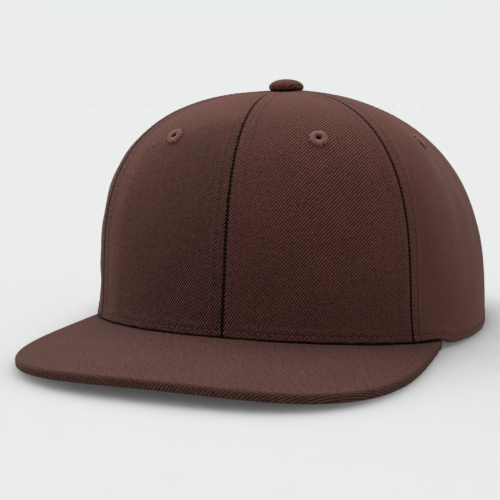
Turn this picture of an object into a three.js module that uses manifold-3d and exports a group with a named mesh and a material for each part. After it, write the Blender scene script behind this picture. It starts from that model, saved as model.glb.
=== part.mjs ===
// Six-panel flat-brim snapback cap, at its real size in millimetres.
// +Z is up, the brim points to -Y, the wearer's left is +X, and the cap rests on Z = 0.
import * as THREE from 'three';
import { mergeVertices } from 'three/addons/utils/BufferGeometryUtils.js';
import Module from 'manifold-3d';

const wasm = await Module();
wasm.setup();

// Crown: the hem is a squarish oval, and the apex stands in front of its middle
const hemHalfWidth = 88;
const hemHalfLength = 93;
const hemSquareness = 2.11;
const hemSetBack = 15.5;
const crownHeight = 105.5;
const panelWall = 1.8;
const panelGap = 0.3;
const tipRadius = 2.4;
const seamRollWidth = 1.6;
const seamRollDepth = 0.5;
const frontFlare = 5.5;
const frontFlareHeight = 13;
const flareFull = 50;
const flareEnd = 112;

// Crown sections, one row for each meridian round the hem from the front to the back.
// rise: how far the meridian leaves the apex level, as a share of the reach to the hem there.
// shoulder: the height at which it turns down, as a share of the crown's height.
// lean: how much the turn bulges past the hem, as a share of the shoulder.
const crownSections = [
  { angle: 0, rise: 0.8, shoulder: 0.78, lean: 0.01 },
  { angle: 55, rise: 1.22, shoulder: 0.295, lean: 0.01 },
  { angle: 90, rise: 0.58, shoulder: 0.685, lean: 0.03 },
  { angle: 120, rise: 0.49, shoulder: 0.73, lean: 0.155 },
  { angle: 180, rise: 0.5, shoulder: 0.7, lean: 0.1 },
];

// Seams, one row for each pair, as the angle round the crown at the apex and at the hem
const seams = {
  centreFront: { apex: 0, hem: 0 },
  frontSide: { apex: 46.2, hem: 48.9 },
  sideBack: { apex: 115, hem: 116 },
  centreBack: { apex: 180, hem: 180 },
};

// Brim: a flat board that arches a little from side to side
const brimHalfWidth = 79.5;
const brimReach = 68;
const brimSideDepth = 91.8;
const brimSquareness = 3.15;
const brimThickness = 3.8;
const brimEdgeRadius = 1.5;
const brimArch = 4.4;
const brimClearance = 0.3;

// Button on the apex
const buttonRadius = 7.8;
const buttonHeight = 5.4;
const buttonSideHeight = 2.6;
const buttonFootBevel = 0.5;
const buttonDomeFullness = 0.8;
const buttonClearance = 0.3;

// Eyelets: a sewn ring round a hole in each panel
const eyeletRadius = 4.1;
const eyeletHoleRadius = 1.3;
const eyeletThroatRadius = 2.4;
const eyeletProud = 1.0;
const eyeletClearance = 0.3;

// Eyelet places, one row for each pair: the share of the way across the panel and down the crown
const eyeletPlaces = {
  front: { across: 0.545, down: 0.395 },
  side: { across: 0.455, down: 0.415 },
  back: { across: 0.5, down: 0.4 },
};

// Rear opening, sweatband and snap strap
const archHalfWidth = 42;
const archHeight = 46;
const bandTop = 31;
const bandBottom = 1;
const bandThickness = 1.2;
const bandClearance = 0.55;
const strapWidth = 18;
const strapBottom = 3;
const strapThickness = 1.5;
const strapTuck = 12;
const strapOverlapHalfLength = 24;
const strapClearance = 0.3;
const studRadius = 1.9;
const studHeight = 0.8;
const studPitch = 9.5;

// Cloth and plastic colours
const twill = { color: 0x4a312e, roughness: 0.9, metalness: 0 };
const brimCloth = { color: 0x573b38, roughness: 0.9, metalness: 0 };
const thread = { color: 0x6b4a46, roughness: 0.8, metalness: 0 };
const bandCloth = { color: 0x3f2926, roughness: 0.95, metalness: 0 };
const plastic = { color: 0x3a2724, roughness: 0.45, metalness: 0 };

// How finely the surfaces are divided into flat faces
const panelRows = 16;
const panelColumns = 10;
const rowCrowding = 1.5;
const brimColumns = 46;
const brimFlatRows = 5;
const brimEdgeTurns = [0, 30, 60, 90];
const buttonSides = 24;
const buttonDomeTurns = [0, 25, 50, 72];
const eyeletSides = 14;
const archSegments = 20;
const bandColumns = 56;
const bandRows = 5;
const strapColumns = 18;
const strapRows = 3;
const studSides = 10;
const searchSteps = 30;

const degrees = Math.PI / 180;

// Angle from the front, without its side and at most 180 degrees
function folded(angle) {
  return Math.abs(angle) > 180 ? 360 - Math.abs(angle) : Math.abs(angle);
}

// Smooth curve through one column of the crown table, level at the front and at the back
function sectionShare(column, angle) {
  const around = folded(angle);
  const last = crownSections.length - 1;
  const slopes = crownSections.map((row, i) => {
    if (i === 0 || i === last) {
      return 0;
    }
    const before = crownSections[i - 1];
    const after = crownSections[i + 1];
    return (after[column] - before[column]) / (after.angle - before.angle);
  });
  let i = 0;
  while (i < last - 1 && around > crownSections[i + 1].angle) {
    i += 1;
  }
  const span = crownSections[i + 1].angle - crownSections[i].angle;
  const u = (around - crownSections[i].angle) / span;
  return (
    (2 * u ** 3 - 3 * u ** 2 + 1) * crownSections[i][column] +
    (u ** 3 - 2 * u ** 2 + u) * span * slopes[i] +
    (3 * u ** 2 - 2 * u ** 3) * crownSections[i + 1][column] +
    (u ** 3 - u ** 2) * span * slopes[i + 1]
  );
}

// Point on the outline of the hem, seen from above; angle 0 is the front
function hemPoint(angle) {
  const s = Math.sin(angle * degrees);
  const c = Math.cos(angle * degrees);
  const power = 2 / hemSquareness;
  return new THREE.Vector2(
    hemHalfWidth * Math.sign(s) * Math.abs(s) ** power,
    hemSetBack - hemHalfLength * Math.sign(c) * Math.abs(c) ** power,
  );
}

// Share of the front's flare at an angle: the brim spreads the cloth that stands on it
function flareShare(angle) {
  const part = Math.min(1, Math.max(0, (flareEnd - folded(angle)) / (flareEnd - flareFull)));
  return part * part * (3 - 2 * part);
}

// Point on the outside of the crown: down runs from 0 at the apex to 1 at the hem
function crownPoint(angle, down) {
  const hem = hemPoint(angle);
  const up = 1 - down;
  const shoulder = sectionShare('shoulder', angle);
  const first = 3 * up ** 2 * down;
  const second = 3 * up * down ** 2;
  const reach =
    first * sectionShare('rise', angle) +
    second * (1 + sectionShare('lean', angle) * shoulder) +
    down ** 3;
  const z = (up ** 3 + first + second * shoulder) * crownHeight;
  const spread = (frontFlare / hemHalfWidth) * flareShare(angle);
  const flare = 1 + spread * Math.exp(-z / frontFlareHeight);
  return new THREE.Vector3(hem.x * reach * flare, hem.y * reach * flare, z);
}

// Outward direction of the crown there
function crownNormal(angle, down) {
  const step = 0.01;
  const lower = Math.min(1, down + step);
  const upper = lower - 2 * step;
  const along = crownPoint(angle, lower).sub(crownPoint(angle, upper));
  const around = crownPoint(angle + step, down).sub(crownPoint(angle - step, down));
  return along.cross(around).normalize();
}

// Point at a depth below the outside of the crown
function crownInset(angle, down, depth) {
  return crownPoint(angle, down).addScaledVector(crownNormal(angle, down), -depth);
}

// Value between two limits above which a test holds, found by halving
function turningPoint(low, high, test) {
  let below = low;
  let above = high;
  for (let i = 0; i < searchSteps; i += 1) {
    const middle = (below + above) / 2;
    if (test(middle)) {
      above = middle;
    } else {
      below = middle;
    }
  }
  return above;
}

// Point at a depth below the outside of the crown and at this height
function crownInsetAt(angle, z, depth) {
  const down = turningPoint(0, 1, (share) => crownInset(angle, share, depth).z <= z);
  return crownInset(angle, down, depth);
}

// Share of the way down at which the crown is this far from its axis
function downAtRadius(angle, radius) {
  return turningPoint(0, 1, (down) => {
    const p = crownPoint(angle, down);
    return Math.hypot(p.x, p.y) >= radius;
  });
}

// Closed body between two grids of points with the same rows and columns
function slabGeometry(front, back) {
  const columns = front.length;
  const rows = front[0].length;
  const lastColumn = columns - 1;
  const lastRow = rows - 1;
  const positions = [];
  for (const grid of [front, back]) {
    for (const column of grid) {
      for (const p of column) {
        positions.push(p.x, p.y, p.z);
      }
    }
  }
  const frontAt = (i, k) => i * rows + k;
  const backAt = (i, k) => columns * rows + i * rows + k;
  const indices = [];
  const quad = (a, b, c, d) => indices.push(a, b, c, a, c, d);
  for (let i = 0; i < lastColumn; i += 1) {
    for (let k = 0; k < lastRow; k += 1) {
      quad(frontAt(i, k), frontAt(i, k + 1), frontAt(i + 1, k + 1), frontAt(i + 1, k));
      quad(backAt(i, k), backAt(i + 1, k), backAt(i + 1, k + 1), backAt(i, k + 1));
    }
    quad(frontAt(i, 0), frontAt(i + 1, 0), backAt(i + 1, 0), backAt(i, 0));
    quad(frontAt(i + 1, lastRow), frontAt(i, lastRow), backAt(i, lastRow), backAt(i + 1, lastRow));
  }
  for (let k = 0; k < lastRow; k += 1) {
    const low = k + 1;
    quad(frontAt(0, low), frontAt(0, k), backAt(0, k), backAt(0, low));
    quad(frontAt(lastColumn, k), frontAt(lastColumn, low), backAt(lastColumn, low), backAt(lastColumn, k));
  }
  const geometry = new THREE.BufferGeometry();
  geometry.setAttribute('position', new THREE.Float32BufferAttribute(positions, 3));
  geometry.setIndex(indices);
  return geometry;
}

// Solids for cutting and joining, and back
function toSolid(geometry) {
  const bare = geometry.clone();
  bare.deleteAttribute('normal');
  bare.deleteAttribute('uv');
  const merged = mergeVertices(bare, 1e-4);
  return new wasm.Manifold(
    new wasm.Mesh({
      numProp: 3,
      vertProperties: new Float32Array(merged.attributes.position.array),
      triVerts: new Uint32Array(merged.index.array),
    }),
  );
}

function fromSolid(solid) {
  const { vertProperties, triVerts } = solid.getMesh();
  const geometry = new THREE.BufferGeometry();
  geometry.setAttribute('position', new THREE.BufferAttribute(new Float32Array(vertProperties), 3));
  geometry.setIndex(new THREE.BufferAttribute(new Uint32Array(triVerts), 1));
  return geometry;
}

const cap = new THREE.Group();

function addPiece(name, geometry, finish) {
  const flat = geometry.index ? geometry.toNonIndexed() : geometry;
  flat.computeVertexNormals();
  const piece = new THREE.Mesh(flat, new THREE.MeshStandardMaterial(finish));
  piece.name = name;
  cap.add(piece);
}

// Brim. Its outline is a squarish curve whose sides run back to meet the crown.
const brimMiddle = hemSetBack - hemHalfLength - brimReach + brimSideDepth;

function brimOutline(turn) {
  const across = Math.abs(Math.sin(turn * degrees)) / brimHalfWidth;
  const ahead = Math.abs(Math.cos(turn * degrees)) / brimSideDepth;
  const reach = (across ** brimSquareness + ahead ** brimSquareness) ** (-1 / brimSquareness);
  return new THREE.Vector2(
    reach * Math.sin(turn * degrees),
    brimMiddle - reach * Math.cos(turn * degrees),
  );
}

// Height of the brim's underside: its sides touch the ground and its middle is arched up
function brimUnderside(x) {
  return Math.max(0, brimArch * (1 - (x / brimHalfWidth) ** 2));
}

function brimTop(x) {
  return brimUnderside(x) + brimThickness;
}

// Foot of the crown where it stands on the brim, at a depth below its outside
function brimSeat(angle, depth) {
  const hem = hemPoint(angle);
  return crownInsetAt(angle, brimTop(hem.x), depth);
}

// Where the brim's sides run into the crown, as an angle round it and a turn of the outline
function brimEnd() {
  const turnThrough = (angle) => {
    const foot = brimSeat(angle, 0);
    return Math.atan2(foot.x, brimMiddle - foot.y) / degrees;
  };
  const insideBrim = 30;
  const pastBrim = 88;
  const angle = turningPoint(insideBrim, pastBrim, (middle) => {
    const foot = brimSeat(middle, 0);
    const outline = brimOutline(turnThrough(middle));
    return Math.hypot(outline.x, outline.y - brimMiddle) < Math.hypot(foot.x, foot.y - brimMiddle);
  });
  return { angle, turn: turnThrough(angle) };
}

// The brim's rows run out from its inner edge and then round its outer edge
function brimGeometry() {
  const end = brimEnd();
  const top = [];
  const underside = [];
  for (let i = 0; i <= brimColumns; i += 1) {
    const side = (2 * i) / brimColumns - 1;
    const seat = brimSeat(side * end.angle, panelWall);
    const inner = new THREE.Vector2(seat.x, seat.y);
    const outer = brimOutline(side * end.turn);
    const length = inner.distanceTo(outer);
    const radius = Math.min(brimEdgeRadius, length / 3);
    const steps = [];
    for (let k = 0; k < brimFlatRows; k += 1) {
      steps.push({ way: ((length - radius) * k) / brimFlatRows, drop: 0 });
    }
    for (const turn of brimEdgeTurns) {
      const way = length - radius * (1 - Math.sin(turn * degrees));
      steps.push({ way, drop: radius * (1 - Math.cos(turn * degrees)) });
    }
    const topColumn = [];
    const undersideColumn = [];
    for (const { way, drop } of steps) {
      const spot = inner.clone().lerp(outer, way / length);
      const z = brimUnderside(spot.x);
      topColumn.push(new THREE.Vector3(spot.x, spot.y, z + brimThickness - drop));
      undersideColumn.push(new THREE.Vector3(spot.x, spot.y, z + drop));
    }
    top.push(topColumn);
    underside.push(undersideColumn);
  }
  return slabGeometry(top, underside);
}

// Height of the hem: on the ground behind the side-back seams, and rising from there to the front,
// where it is as high as the underside of the brim's middle
function hemHeight(angle) {
  const share = Math.min(1, folded(angle) / seams.sideBack.hem);
  return (brimArch / 2) * (1 + Math.cos(share * Math.PI));
}

// Room that the foot of the crown leaves free below a height, out to this angle on both sides
function roomBelow(end, height) {
  const spare = 6;
  const top = [];
  const bottom = [];
  for (let i = 0; i <= brimColumns; i += 1) {
    const angle = end * ((2 * i) / brimColumns - 1);
    const level = height(angle, hemPoint(angle));
    const inside = crownInsetAt(angle, level, panelWall + spare);
    const outside = crownInsetAt(angle, level, -2 * spare);
    const middle = inside.clone().lerp(outside, 0.5);
    const path = [inside, middle, outside];
    top.push(path.map((spot) => new THREE.Vector3(spot.x, spot.y, height(angle, spot))));
    bottom.push(path.map((spot) => new THREE.Vector3(spot.x, spot.y, -spare)));
  }
  return toSolid(slabGeometry(top, bottom));
}

// Arched opening cut through the back of the crown
function archRoom() {
  const spare = 20;
  const outline = new THREE.Shape();
  outline.moveTo(-archHalfWidth, -spare);
  outline.lineTo(archHalfWidth, -spare);
  outline.lineTo(archHalfWidth, 0);
  outline.absellipse(0, 0, archHalfWidth, archHeight, 0, Math.PI, false);
  const depth = hemHalfLength;
  const settings = { depth, bevelEnabled: false, curveSegments: archSegments };
  const geometry = new THREE.ExtrudeGeometry(outline, settings);
  geometry.rotateX(Math.PI / 2);
  geometry.translate(0, hemSetBack + hemHalfLength + spare, 0);
  return toSolid(geometry);
}

// Crown panels
function seamAngle(seam, down) {
  return seam.apex + (seam.hem - seam.apex) * down;
}

// One panel between two seams; side is 1 on the wearer's left and -1 on the right.
// Its first and last columns roll into the seams, by at most this share of a narrow row.
const widestRoll = 0.15;

function panelSolid(near, far, side) {
  const outside = [];
  const inside = [];
  for (let i = 0; i <= panelColumns; i += 1) {
    const outsideColumn = [];
    const insideColumn = [];
    for (let k = 0; k <= panelRows; k += 1) {
      const share = 1 - (1 - k / panelRows) ** rowCrowding;
      const middle = (seamAngle(near, share) + seamAngle(far, share)) / 2;
      const tip = downAtRadius(middle, tipRadius);
      const down = tip + (1 - tip) * share;
      const radius = Math.hypot(crownPoint(middle, down).x, crownPoint(middle, down).y);
      const low = side > 0 ? seamAngle(near, down) : -seamAngle(far, down);
      const high = side > 0 ? seamAngle(far, down) : -seamAngle(near, down);
      const gap = panelGap / 2 / radius / degrees;
      const width = high - low - 2 * gap;
      const roll = Math.min(widestRoll, seamRollWidth / (radius * width * degrees));
      const atSeam = i === 0 || i === panelColumns;
      const across = atSeam ? i / panelColumns : roll + ((1 - 2 * roll) * (i - 1)) / (panelColumns - 2);
      const angle = low + gap + width * across;
      const outer = crownInset(angle, down, atSeam ? seamRollDepth : 0);
      const inner = crownInset(angle, down, panelWall);
      if (k === panelRows) {
        outer.z = 0;
        inner.z = 0;
      }
      outsideColumn.push(outer);
      insideColumn.push(inner);
    }
    outside.push(outsideColumn);
    inside.push(insideColumn);
  }
  return toSolid(slabGeometry(outside, inside));
}

// Turns a body made along +Y to stand on the crown, pointing outwards
function standOnCrown(geometry, angle, down, depth) {
  const upright = new THREE.Vector3(0, 1, 0);
  const turn = new THREE.Quaternion().setFromUnitVectors(upright, crownNormal(angle, down));
  geometry.applyQuaternion(turn);
  const foot = crownInset(angle, down, depth);
  geometry.translate(foot.x, foot.y, foot.z);
  return geometry;
}

function eyeletHole(angle, down) {
  const length = 6 * panelWall;
  const radius = eyeletThroatRadius + eyeletClearance;
  const geometry = new THREE.CylinderGeometry(radius, radius, length, eyeletSides);
  return toSolid(standOnCrown(geometry, angle, down, 0));
}

function eyeletGeometry(angle, down) {
  const profile = [
    [eyeletHoleRadius, -panelWall],
    [eyeletThroatRadius, -panelWall],
    [eyeletThroatRadius, eyeletClearance],
    [eyeletRadius, eyeletClearance],
    [eyeletRadius - 0.4 * eyeletProud, 0.7 * eyeletProud],
    [(eyeletRadius + eyeletThroatRadius) / 2, eyeletProud],
    [eyeletHoleRadius + 0.3 * eyeletProud, 0.8 * eyeletProud],
    [eyeletHoleRadius, -panelWall],
  ];
  const points = profile.map(([x, y]) => new THREE.Vector2(x, y));
  const ring = toSolid(new THREE.LatheGeometry(points, eyeletSides));
  return standOnCrown(fromSolid(ring), angle, down, 0);
}

const panels = [
  { name: 'front', near: seams.centreFront, far: seams.frontSide },
  { name: 'side', near: seams.frontSide, far: seams.sideBack },
  { name: 'back', near: seams.sideBack, far: seams.centreBack },
];
const sides = [
  { name: 'left', sign: 1 },
  { name: 'right', sign: -1 },
];
const brimSector = brimEnd().angle + brimClearance / hemHalfWidth / degrees;
const roomForBrim = roomBelow(brimSector, (angle, spot) => brimTop(spot.x) + brimClearance);
const roomUnderHem = roomBelow(seams.sideBack.hem, hemHeight);
const roomForArch = archRoom();

for (const panel of panels) {
  for (const side of sides) {
    const place = eyeletPlaces[panel.name];
    const nearAngle = seamAngle(panel.near, place.down);
    const farAngle = seamAngle(panel.far, place.down);
    const angle = side.sign * (nearAngle + (farAngle - nearAngle) * place.across);
    const solid = panelSolid(panel.near, panel.far, side.sign)
      .subtract(eyeletHole(angle, place.down))
      .subtract(panel.name === 'back' ? roomForArch : roomForBrim.add(roomUnderHem));
    addPiece(`${panel.name}_panel_${side.name}`, fromSolid(solid), twill);
    addPiece(`eyelet_${panel.name}_${side.name}`, eyeletGeometry(angle, place.down), thread);
  }
}

addPiece('brim', brimGeometry(), brimCloth);

// Button: rings of points from the middle of its foot, over its side, to the top
function buttonGeometry() {
  const ring = (radius, heightAt) => {
    const points = [];
    for (let i = 0; i < buttonSides; i += 1) {
      const angle = (360 / buttonSides) * i;
      const direction = hemPoint(angle).normalize();
      points.push(new THREE.Vector3(radius * direction.x, radius * direction.y, heightAt(angle)));
    }
    return points;
  };
  const seat = (radius) => (angle) => crownPoint(angle, downAtRadius(angle, radius)).z + buttonClearance;
  const rings = [
    ring(buttonRadius / 2, seat(buttonRadius / 2)),
    ring(buttonRadius - buttonFootBevel, seat(buttonRadius - buttonFootBevel)),
    ring(buttonRadius, (angle) => seat(buttonRadius)(angle) + buttonFootBevel),
  ];
  for (const turn of buttonDomeTurns) {
    const radius = buttonRadius * Math.cos(turn * degrees) ** buttonDomeFullness;
    const rise = buttonSideHeight + (buttonHeight - buttonSideHeight) * Math.sin(turn * degrees);
    rings.push(ring(radius, () => crownHeight + rise));
  }
  const foot = new THREE.Vector3(0, 0, crownHeight + buttonClearance);
  const crest = new THREE.Vector3(0, 0, crownHeight + buttonHeight);
  const points = [foot, ...rings.flat(), crest];
  const at = (k, i) => 1 + k * buttonSides + (i % buttonSides);
  const indices = [];
  for (let i = 0; i < buttonSides; i += 1) {
    indices.push(0, at(0, i + 1), at(0, i));
    for (let k = 0; k < rings.length - 1; k += 1) {
      indices.push(at(k, i), at(k, i + 1), at(k + 1, i + 1));
      indices.push(at(k, i), at(k + 1, i + 1), at(k + 1, i));
    }
    indices.push(points.length - 1, at(rings.length - 1, i), at(rings.length - 1, i + 1));
  }
  const geometry = new THREE.BufferGeometry().setFromPoints(points);
  geometry.setIndex(indices);
  return geometry;
}

addPiece('button', buttonGeometry(), brimCloth);

// Angle round the back of the crown at which the hem is this far from the middle
function angleBehind(x) {
  return turningPoint(90, 180, (angle) => hemPoint(angle).x < x);
}

// Strip that follows the inside of the crown between two angles and two depths, from a height
// above the hem up to a level; in front it hangs straight down from the level of the brim
function stripGeometry(from, to, columns, rows, bottom, top, outerDepth, innerDepth) {
  const outside = [];
  const inside = [];
  for (let i = 0; i <= columns; i += 1) {
    const angle = from + ((to - from) * i) / columns;
    const foot = bottom + hemHeight(angle);
    const heights = [];
    for (let k = 0; k <= rows; k += 1) {
      heights.push(foot + (top - foot) * (1 - k / rows) ** 2);
    }
    const hem = hemPoint(angle);
    const straightBelow = hem.y < 0 ? brimTop(hem.x) + brimClearance : 0;
    const column = (depth) => heights.map((z) => {
      const point = crownInsetAt(angle, Math.max(z, straightBelow), depth);
      return new THREE.Vector3(point.x, point.y, z);
    });
    outside.push(column(outerDepth));
    inside.push(column(innerDepth));
  }
  return slabGeometry(outside, inside);
}

// Sweatband: a strip inside the hem, open behind
function sweatbandGeometry() {
  const end = angleBehind(archHalfWidth + strapTuck + bandClearance);
  const outer = panelWall + bandClearance;
  const inner = outer + bandThickness;
  return stripGeometry(-end, end, bandColumns, bandRows, bandBottom, bandTop, outer, inner);
}

addPiece('sweatband', sweatbandGeometry(), bandCloth);

// Snap strap: a strip across the opening whose overlap is a second layer with a row of studs
function snapStrapGeometry() {
  const end = angleBehind(archHalfWidth + strapTuck);
  const overlapEnd = angleBehind(strapOverlapHalfLength);
  const outer = panelWall + strapClearance;
  const raised = outer - strapThickness;
  const top = strapBottom + strapWidth;
  const strip = (from, columns, outside, inside) => toSolid(
    stripGeometry(from, 360 - from, columns, strapRows, strapBottom, top, outside, inside),
  );
  const middle = outer + strapThickness / 2;
  let strap = strip(end, strapColumns, outer, outer + strapThickness);
  strap = strap.add(strip(overlapEnd, strapColumns / 2, raised, middle));
  const reach = Math.floor((strapOverlapHalfLength - studRadius) / studPitch);
  for (let i = -reach; i <= reach; i += 1) {
    const angle = i < 0 ? 360 - angleBehind(-i * studPitch) : angleBehind(i * studPitch);
    const centreHeight = strapBottom + strapWidth / 2;
    const down = turningPoint(0, 1, (share) => crownPoint(angle, share).z <= centreHeight);
    const length = studHeight + strapThickness / 2;
    const stud = new THREE.CylinderGeometry(studRadius, studRadius, length, studSides);
    stud.translate(0, studHeight - length / 2, 0);
    strap = strap.add(toSolid(standOnCrown(stud, angle, down, raised)));
  }
  return fromSolid(strap);
}

addPiece('snap_strap', snapStrapGeometry(), plastic);

// The origin is the middle of the whole cap's footprint, on the ground
const reachBox = new THREE.Box3().setFromObject(cap);
cap.position.y = -(reachBox.min.y + reachBox.max.y) / 2;
cap.updateMatrixWorld(true);

export default cap;
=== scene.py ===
"""Six-panel flat-brim snapback cap: its cloth, stitching, button, visor and closure, in metres."""

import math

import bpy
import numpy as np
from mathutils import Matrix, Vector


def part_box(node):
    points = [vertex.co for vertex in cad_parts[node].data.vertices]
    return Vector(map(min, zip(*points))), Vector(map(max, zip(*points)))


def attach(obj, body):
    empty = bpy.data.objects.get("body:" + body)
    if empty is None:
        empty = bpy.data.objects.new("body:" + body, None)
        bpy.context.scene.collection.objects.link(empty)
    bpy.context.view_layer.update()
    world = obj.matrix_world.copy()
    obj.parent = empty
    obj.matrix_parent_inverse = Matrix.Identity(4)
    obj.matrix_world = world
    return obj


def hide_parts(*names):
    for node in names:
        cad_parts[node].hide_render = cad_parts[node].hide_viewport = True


bl_info = {
    "name": "Snapback cap",
    "version": (1, 0, 0),
    "blender": (4, 5, 0),
    "location": "3D View > Sidebar > Cap",
    "description": "Dresses a six-panel flat-brim snapback cap, piece by piece",
    "category": "Add Mesh",
}

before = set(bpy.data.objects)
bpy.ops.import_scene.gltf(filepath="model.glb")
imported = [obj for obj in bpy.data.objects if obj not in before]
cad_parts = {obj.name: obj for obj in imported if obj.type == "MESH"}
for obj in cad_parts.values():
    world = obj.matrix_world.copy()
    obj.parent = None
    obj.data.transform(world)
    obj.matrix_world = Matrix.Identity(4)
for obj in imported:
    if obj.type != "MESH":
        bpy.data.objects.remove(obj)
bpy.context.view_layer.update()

MM = 0.001


def linear(code):
    """An sRGB hex colour as linear red, green and blue."""
    shares = [int(code[i:i + 2], 16) / 255 for i in (1, 3, 5)]
    return tuple(s / 12.92 if s <= 0.04045 else ((s + 0.055) / 1.055) ** 2.4 for s in shares)


def length(name, millimetres, description):
    """A size that a user can change, shown as a length."""
    return bpy.props.FloatProperty(
        name=name, description=description, default=millimetres * MM, unit="LENGTH", precision=4
    )


def turn(name, degrees, description):
    """An angle that a user can change."""
    return bpy.props.FloatProperty(
        name=name, description=description, default=math.radians(degrees), subtype="ANGLE"
    )


def share(name, value, description):
    """A plain number that a user can change."""
    return bpy.props.FloatProperty(name=name, description=description, default=value)


def colour(name, code, description):
    """A colour that a user can change."""
    return bpy.props.FloatVectorProperty(
        name=name, description=description, default=linear(code), subtype="COLOR", min=0, max=1
    )


# Crown sections, one row for each meridian from the front to the back. rise: how far the meridian
# leaves the apex level, shoulder: the height at which it turns down, lean: its bulge past the hem.
SECTIONS = [
    {"angle": 0, "rise": 0.8, "shoulder": 0.78, "lean": 0.01},
    {"angle": 55, "rise": 1.22, "shoulder": 0.295, "lean": 0.01},
    {"angle": 90, "rise": 0.58, "shoulder": 0.685, "lean": 0.03},
    {"angle": 120, "rise": 0.49, "shoulder": 0.73, "lean": 0.155},
    {"angle": 180, "rise": 0.5, "shoulder": 0.7, "lean": 0.1},
]

# Seams, as the angle round the crown at the apex and at the hem
SEAMS = {
    "centre_front": {"apex": 0, "hem": 0},
    "front_side": {"apex": 46.2, "hem": 48.9},
    "side_back": {"apex": 115, "hem": 116},
    "centre_back": {"apex": 180, "hem": 180},
}

# Panels of one side. across and down place the eyelet; columns is how finely the cloth between
# the seams is divided; ribs is how strongly the twill stands out.
PANELS = [
    {"name": "front", "near": "centre_front", "far": "front_side", "across": 0.545, "down": 0.395,
     "columns": 34, "ribs": 1.0},
    {"name": "side", "near": "front_side", "far": "side_back", "across": 0.455, "down": 0.415,
     "columns": 42, "ribs": 0.16},
    {"name": "back", "near": "side_back", "far": "centre_back", "across": 0.5, "down": 0.4,
     "columns": 42, "ribs": 0.16},
]
SIDES = [("left", 1), ("right", -1)]


class CapCrownSettings(bpy.types.PropertyGroup):
    """Sizes of the crown."""

    hem_half_width: length("Hem half width", 88, "Half the width of the hem")
    hem_half_length: length("Hem half length", 93, "Half the length of the hem, front to back")
    hem_squareness: share("Hem squareness", 2.11, "2 is an ellipse, more is squarer")
    hem_set_back: length("Hem set back", 15.5, "How far the hem's middle lies behind the apex")
    height: length("Height", 105.5, "Height of the apex over the ground")
    front_flare: length("Front flare", 5.5, "How far the foot of the front panels spreads")
    flare_height: length("Flare height", 13, "Height over which that spread fades")
    flare_full: turn("Flare full", 50, "Angle from the front up to which the foot spreads in full")
    flare_end: turn("Flare end", 112, "Angle from the front beyond which it doesn't spread")
    front_dip: length("Front dip", 1, "How far the cloth sinks in front of the button")
    dip_reach: length("Dip reach", 12, "Distance of that dip from the crown's axis")
    wall: length("Wall", 1.8, "Thickness of the panels")
    seam_roll: length("Seam roll", 0.85, "Radius at which a panel's edge turns into its seam")
    welt: length("Welt", 0.28, "Rise of the cloth over the seam allowance")
    welt_width: length("Welt width", 4.9, "Width of the seam allowance on each side")
    arch_half_width: length("Arch half width", 42, "Half the width of the rear opening")
    arch_height: length("Arch height", 46, "Height of the rear opening")
    arch_fold: length("Arch fold", 8.6, "Width of the cloth folded under round the rear opening")


class CapStitchSettings(bpy.types.PropertyGroup):
    """Sizes of the topstitching and the eyelets."""

    pitch: length("Pitch", 2.7, "Distance from one stitch to the next")
    stitch: length("Stitch", 1.6, "Length of the thread that shows of one stitch")
    thickness: length("Thread", 0.4, "Thickness of the thread")
    seam_offset: length("Seam offset", 3.5, "Distance of the topstitch rows from a seam")
    foot_offset: length("Foot offset", 2.5, "Distance of the topstitch row from the hem")
    arch_offset: length("Arch offset", 7.4, "Distance of the second row from the rear opening")
    eyelet_radius: length("Eyelet radius", 4.1, "Outer radius of an eyelet")
    eyelet_hole: length("Eyelet hole", 1.0, "Radius of the hole in an eyelet")
    eyelet_height: length("Eyelet height", 1.2, "Height of an eyelet over the cloth")
    eyelet_stitches: bpy.props.IntProperty(
        name="Eyelet stitches", description="Number of stitches round an eyelet", default=19
    )


class CapBrimSettings(bpy.types.PropertyGroup):
    """Sizes of the brim."""

    half_width: length("Half width", 79.5, "Half the width of the brim")
    reach: length("Reach", 68, "How far the brim stands out in front of the hem")
    side_depth: length("Side depth", 91.8, "Depth of the outline from its widest place to the front")
    squareness: share("Squareness", 3.15, "2 is an ellipse, more is squarer")
    thickness: length("Thickness", 3.8, "Thickness of the board with its cloth")
    edge_radius: length("Edge radius", 1.4, "Radius of the edge")
    arch: length("Arch", 4.4, "Rise of the middle over the sides")
    tip_thinning: length("Tip thinning", 2, "How much thinner its ends are, beside the crown")


class CapButtonSettings(bpy.types.PropertyGroup):
    """Sizes of the button."""

    radius: length("Radius", 7.8, "Radius of the button")
    height: length("Height", 5.1, "Height of its top over the apex")
    side_height: length("Side height", 1.5, "Height of its side over the apex")
    fullness: share("Fullness", 0.92, "1 is a round dome, less is a flatter one")


class CapClosureSettings(bpy.types.PropertyGroup):
    """Sizes of the sweatband and the snap strap."""

    band_top: length("Band top", 31, "Height of the sweatband's upper edge")
    band_bottom: length("Band bottom", 1, "Height of its lower edge over the hem")
    band_thickness: length("Band thickness", 1.2, "Thickness of the sweatband")
    band_clearance: length("Band clearance", 0.55, "Gap between the sweatband and the crown")
    strap_width: length("Strap width", 18, "Width of the snap strap")
    strap_bottom: length("Strap bottom", 3, "Height of its lower edge")
    strap_thickness: length("Strap thickness", 1.5, "Thickness of one strap")
    strap_tuck: length("Strap tuck", 12, "How far each end is tucked behind the panel")
    strap_clearance: length("Strap clearance", 0.3, "Gap between the strap and the crown")
    overlap: length("Overlap", 24, "Half the length of the stretch where the two straps overlap")
    stud_radius: length("Stud radius", 1.9, "Radius of a stud")
    stud_height: length("Stud height", 0.8, "Height of a stud over the strap")
    stud_pitch: length("Stud pitch", 9.5, "Distance from one stud to the next")


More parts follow.
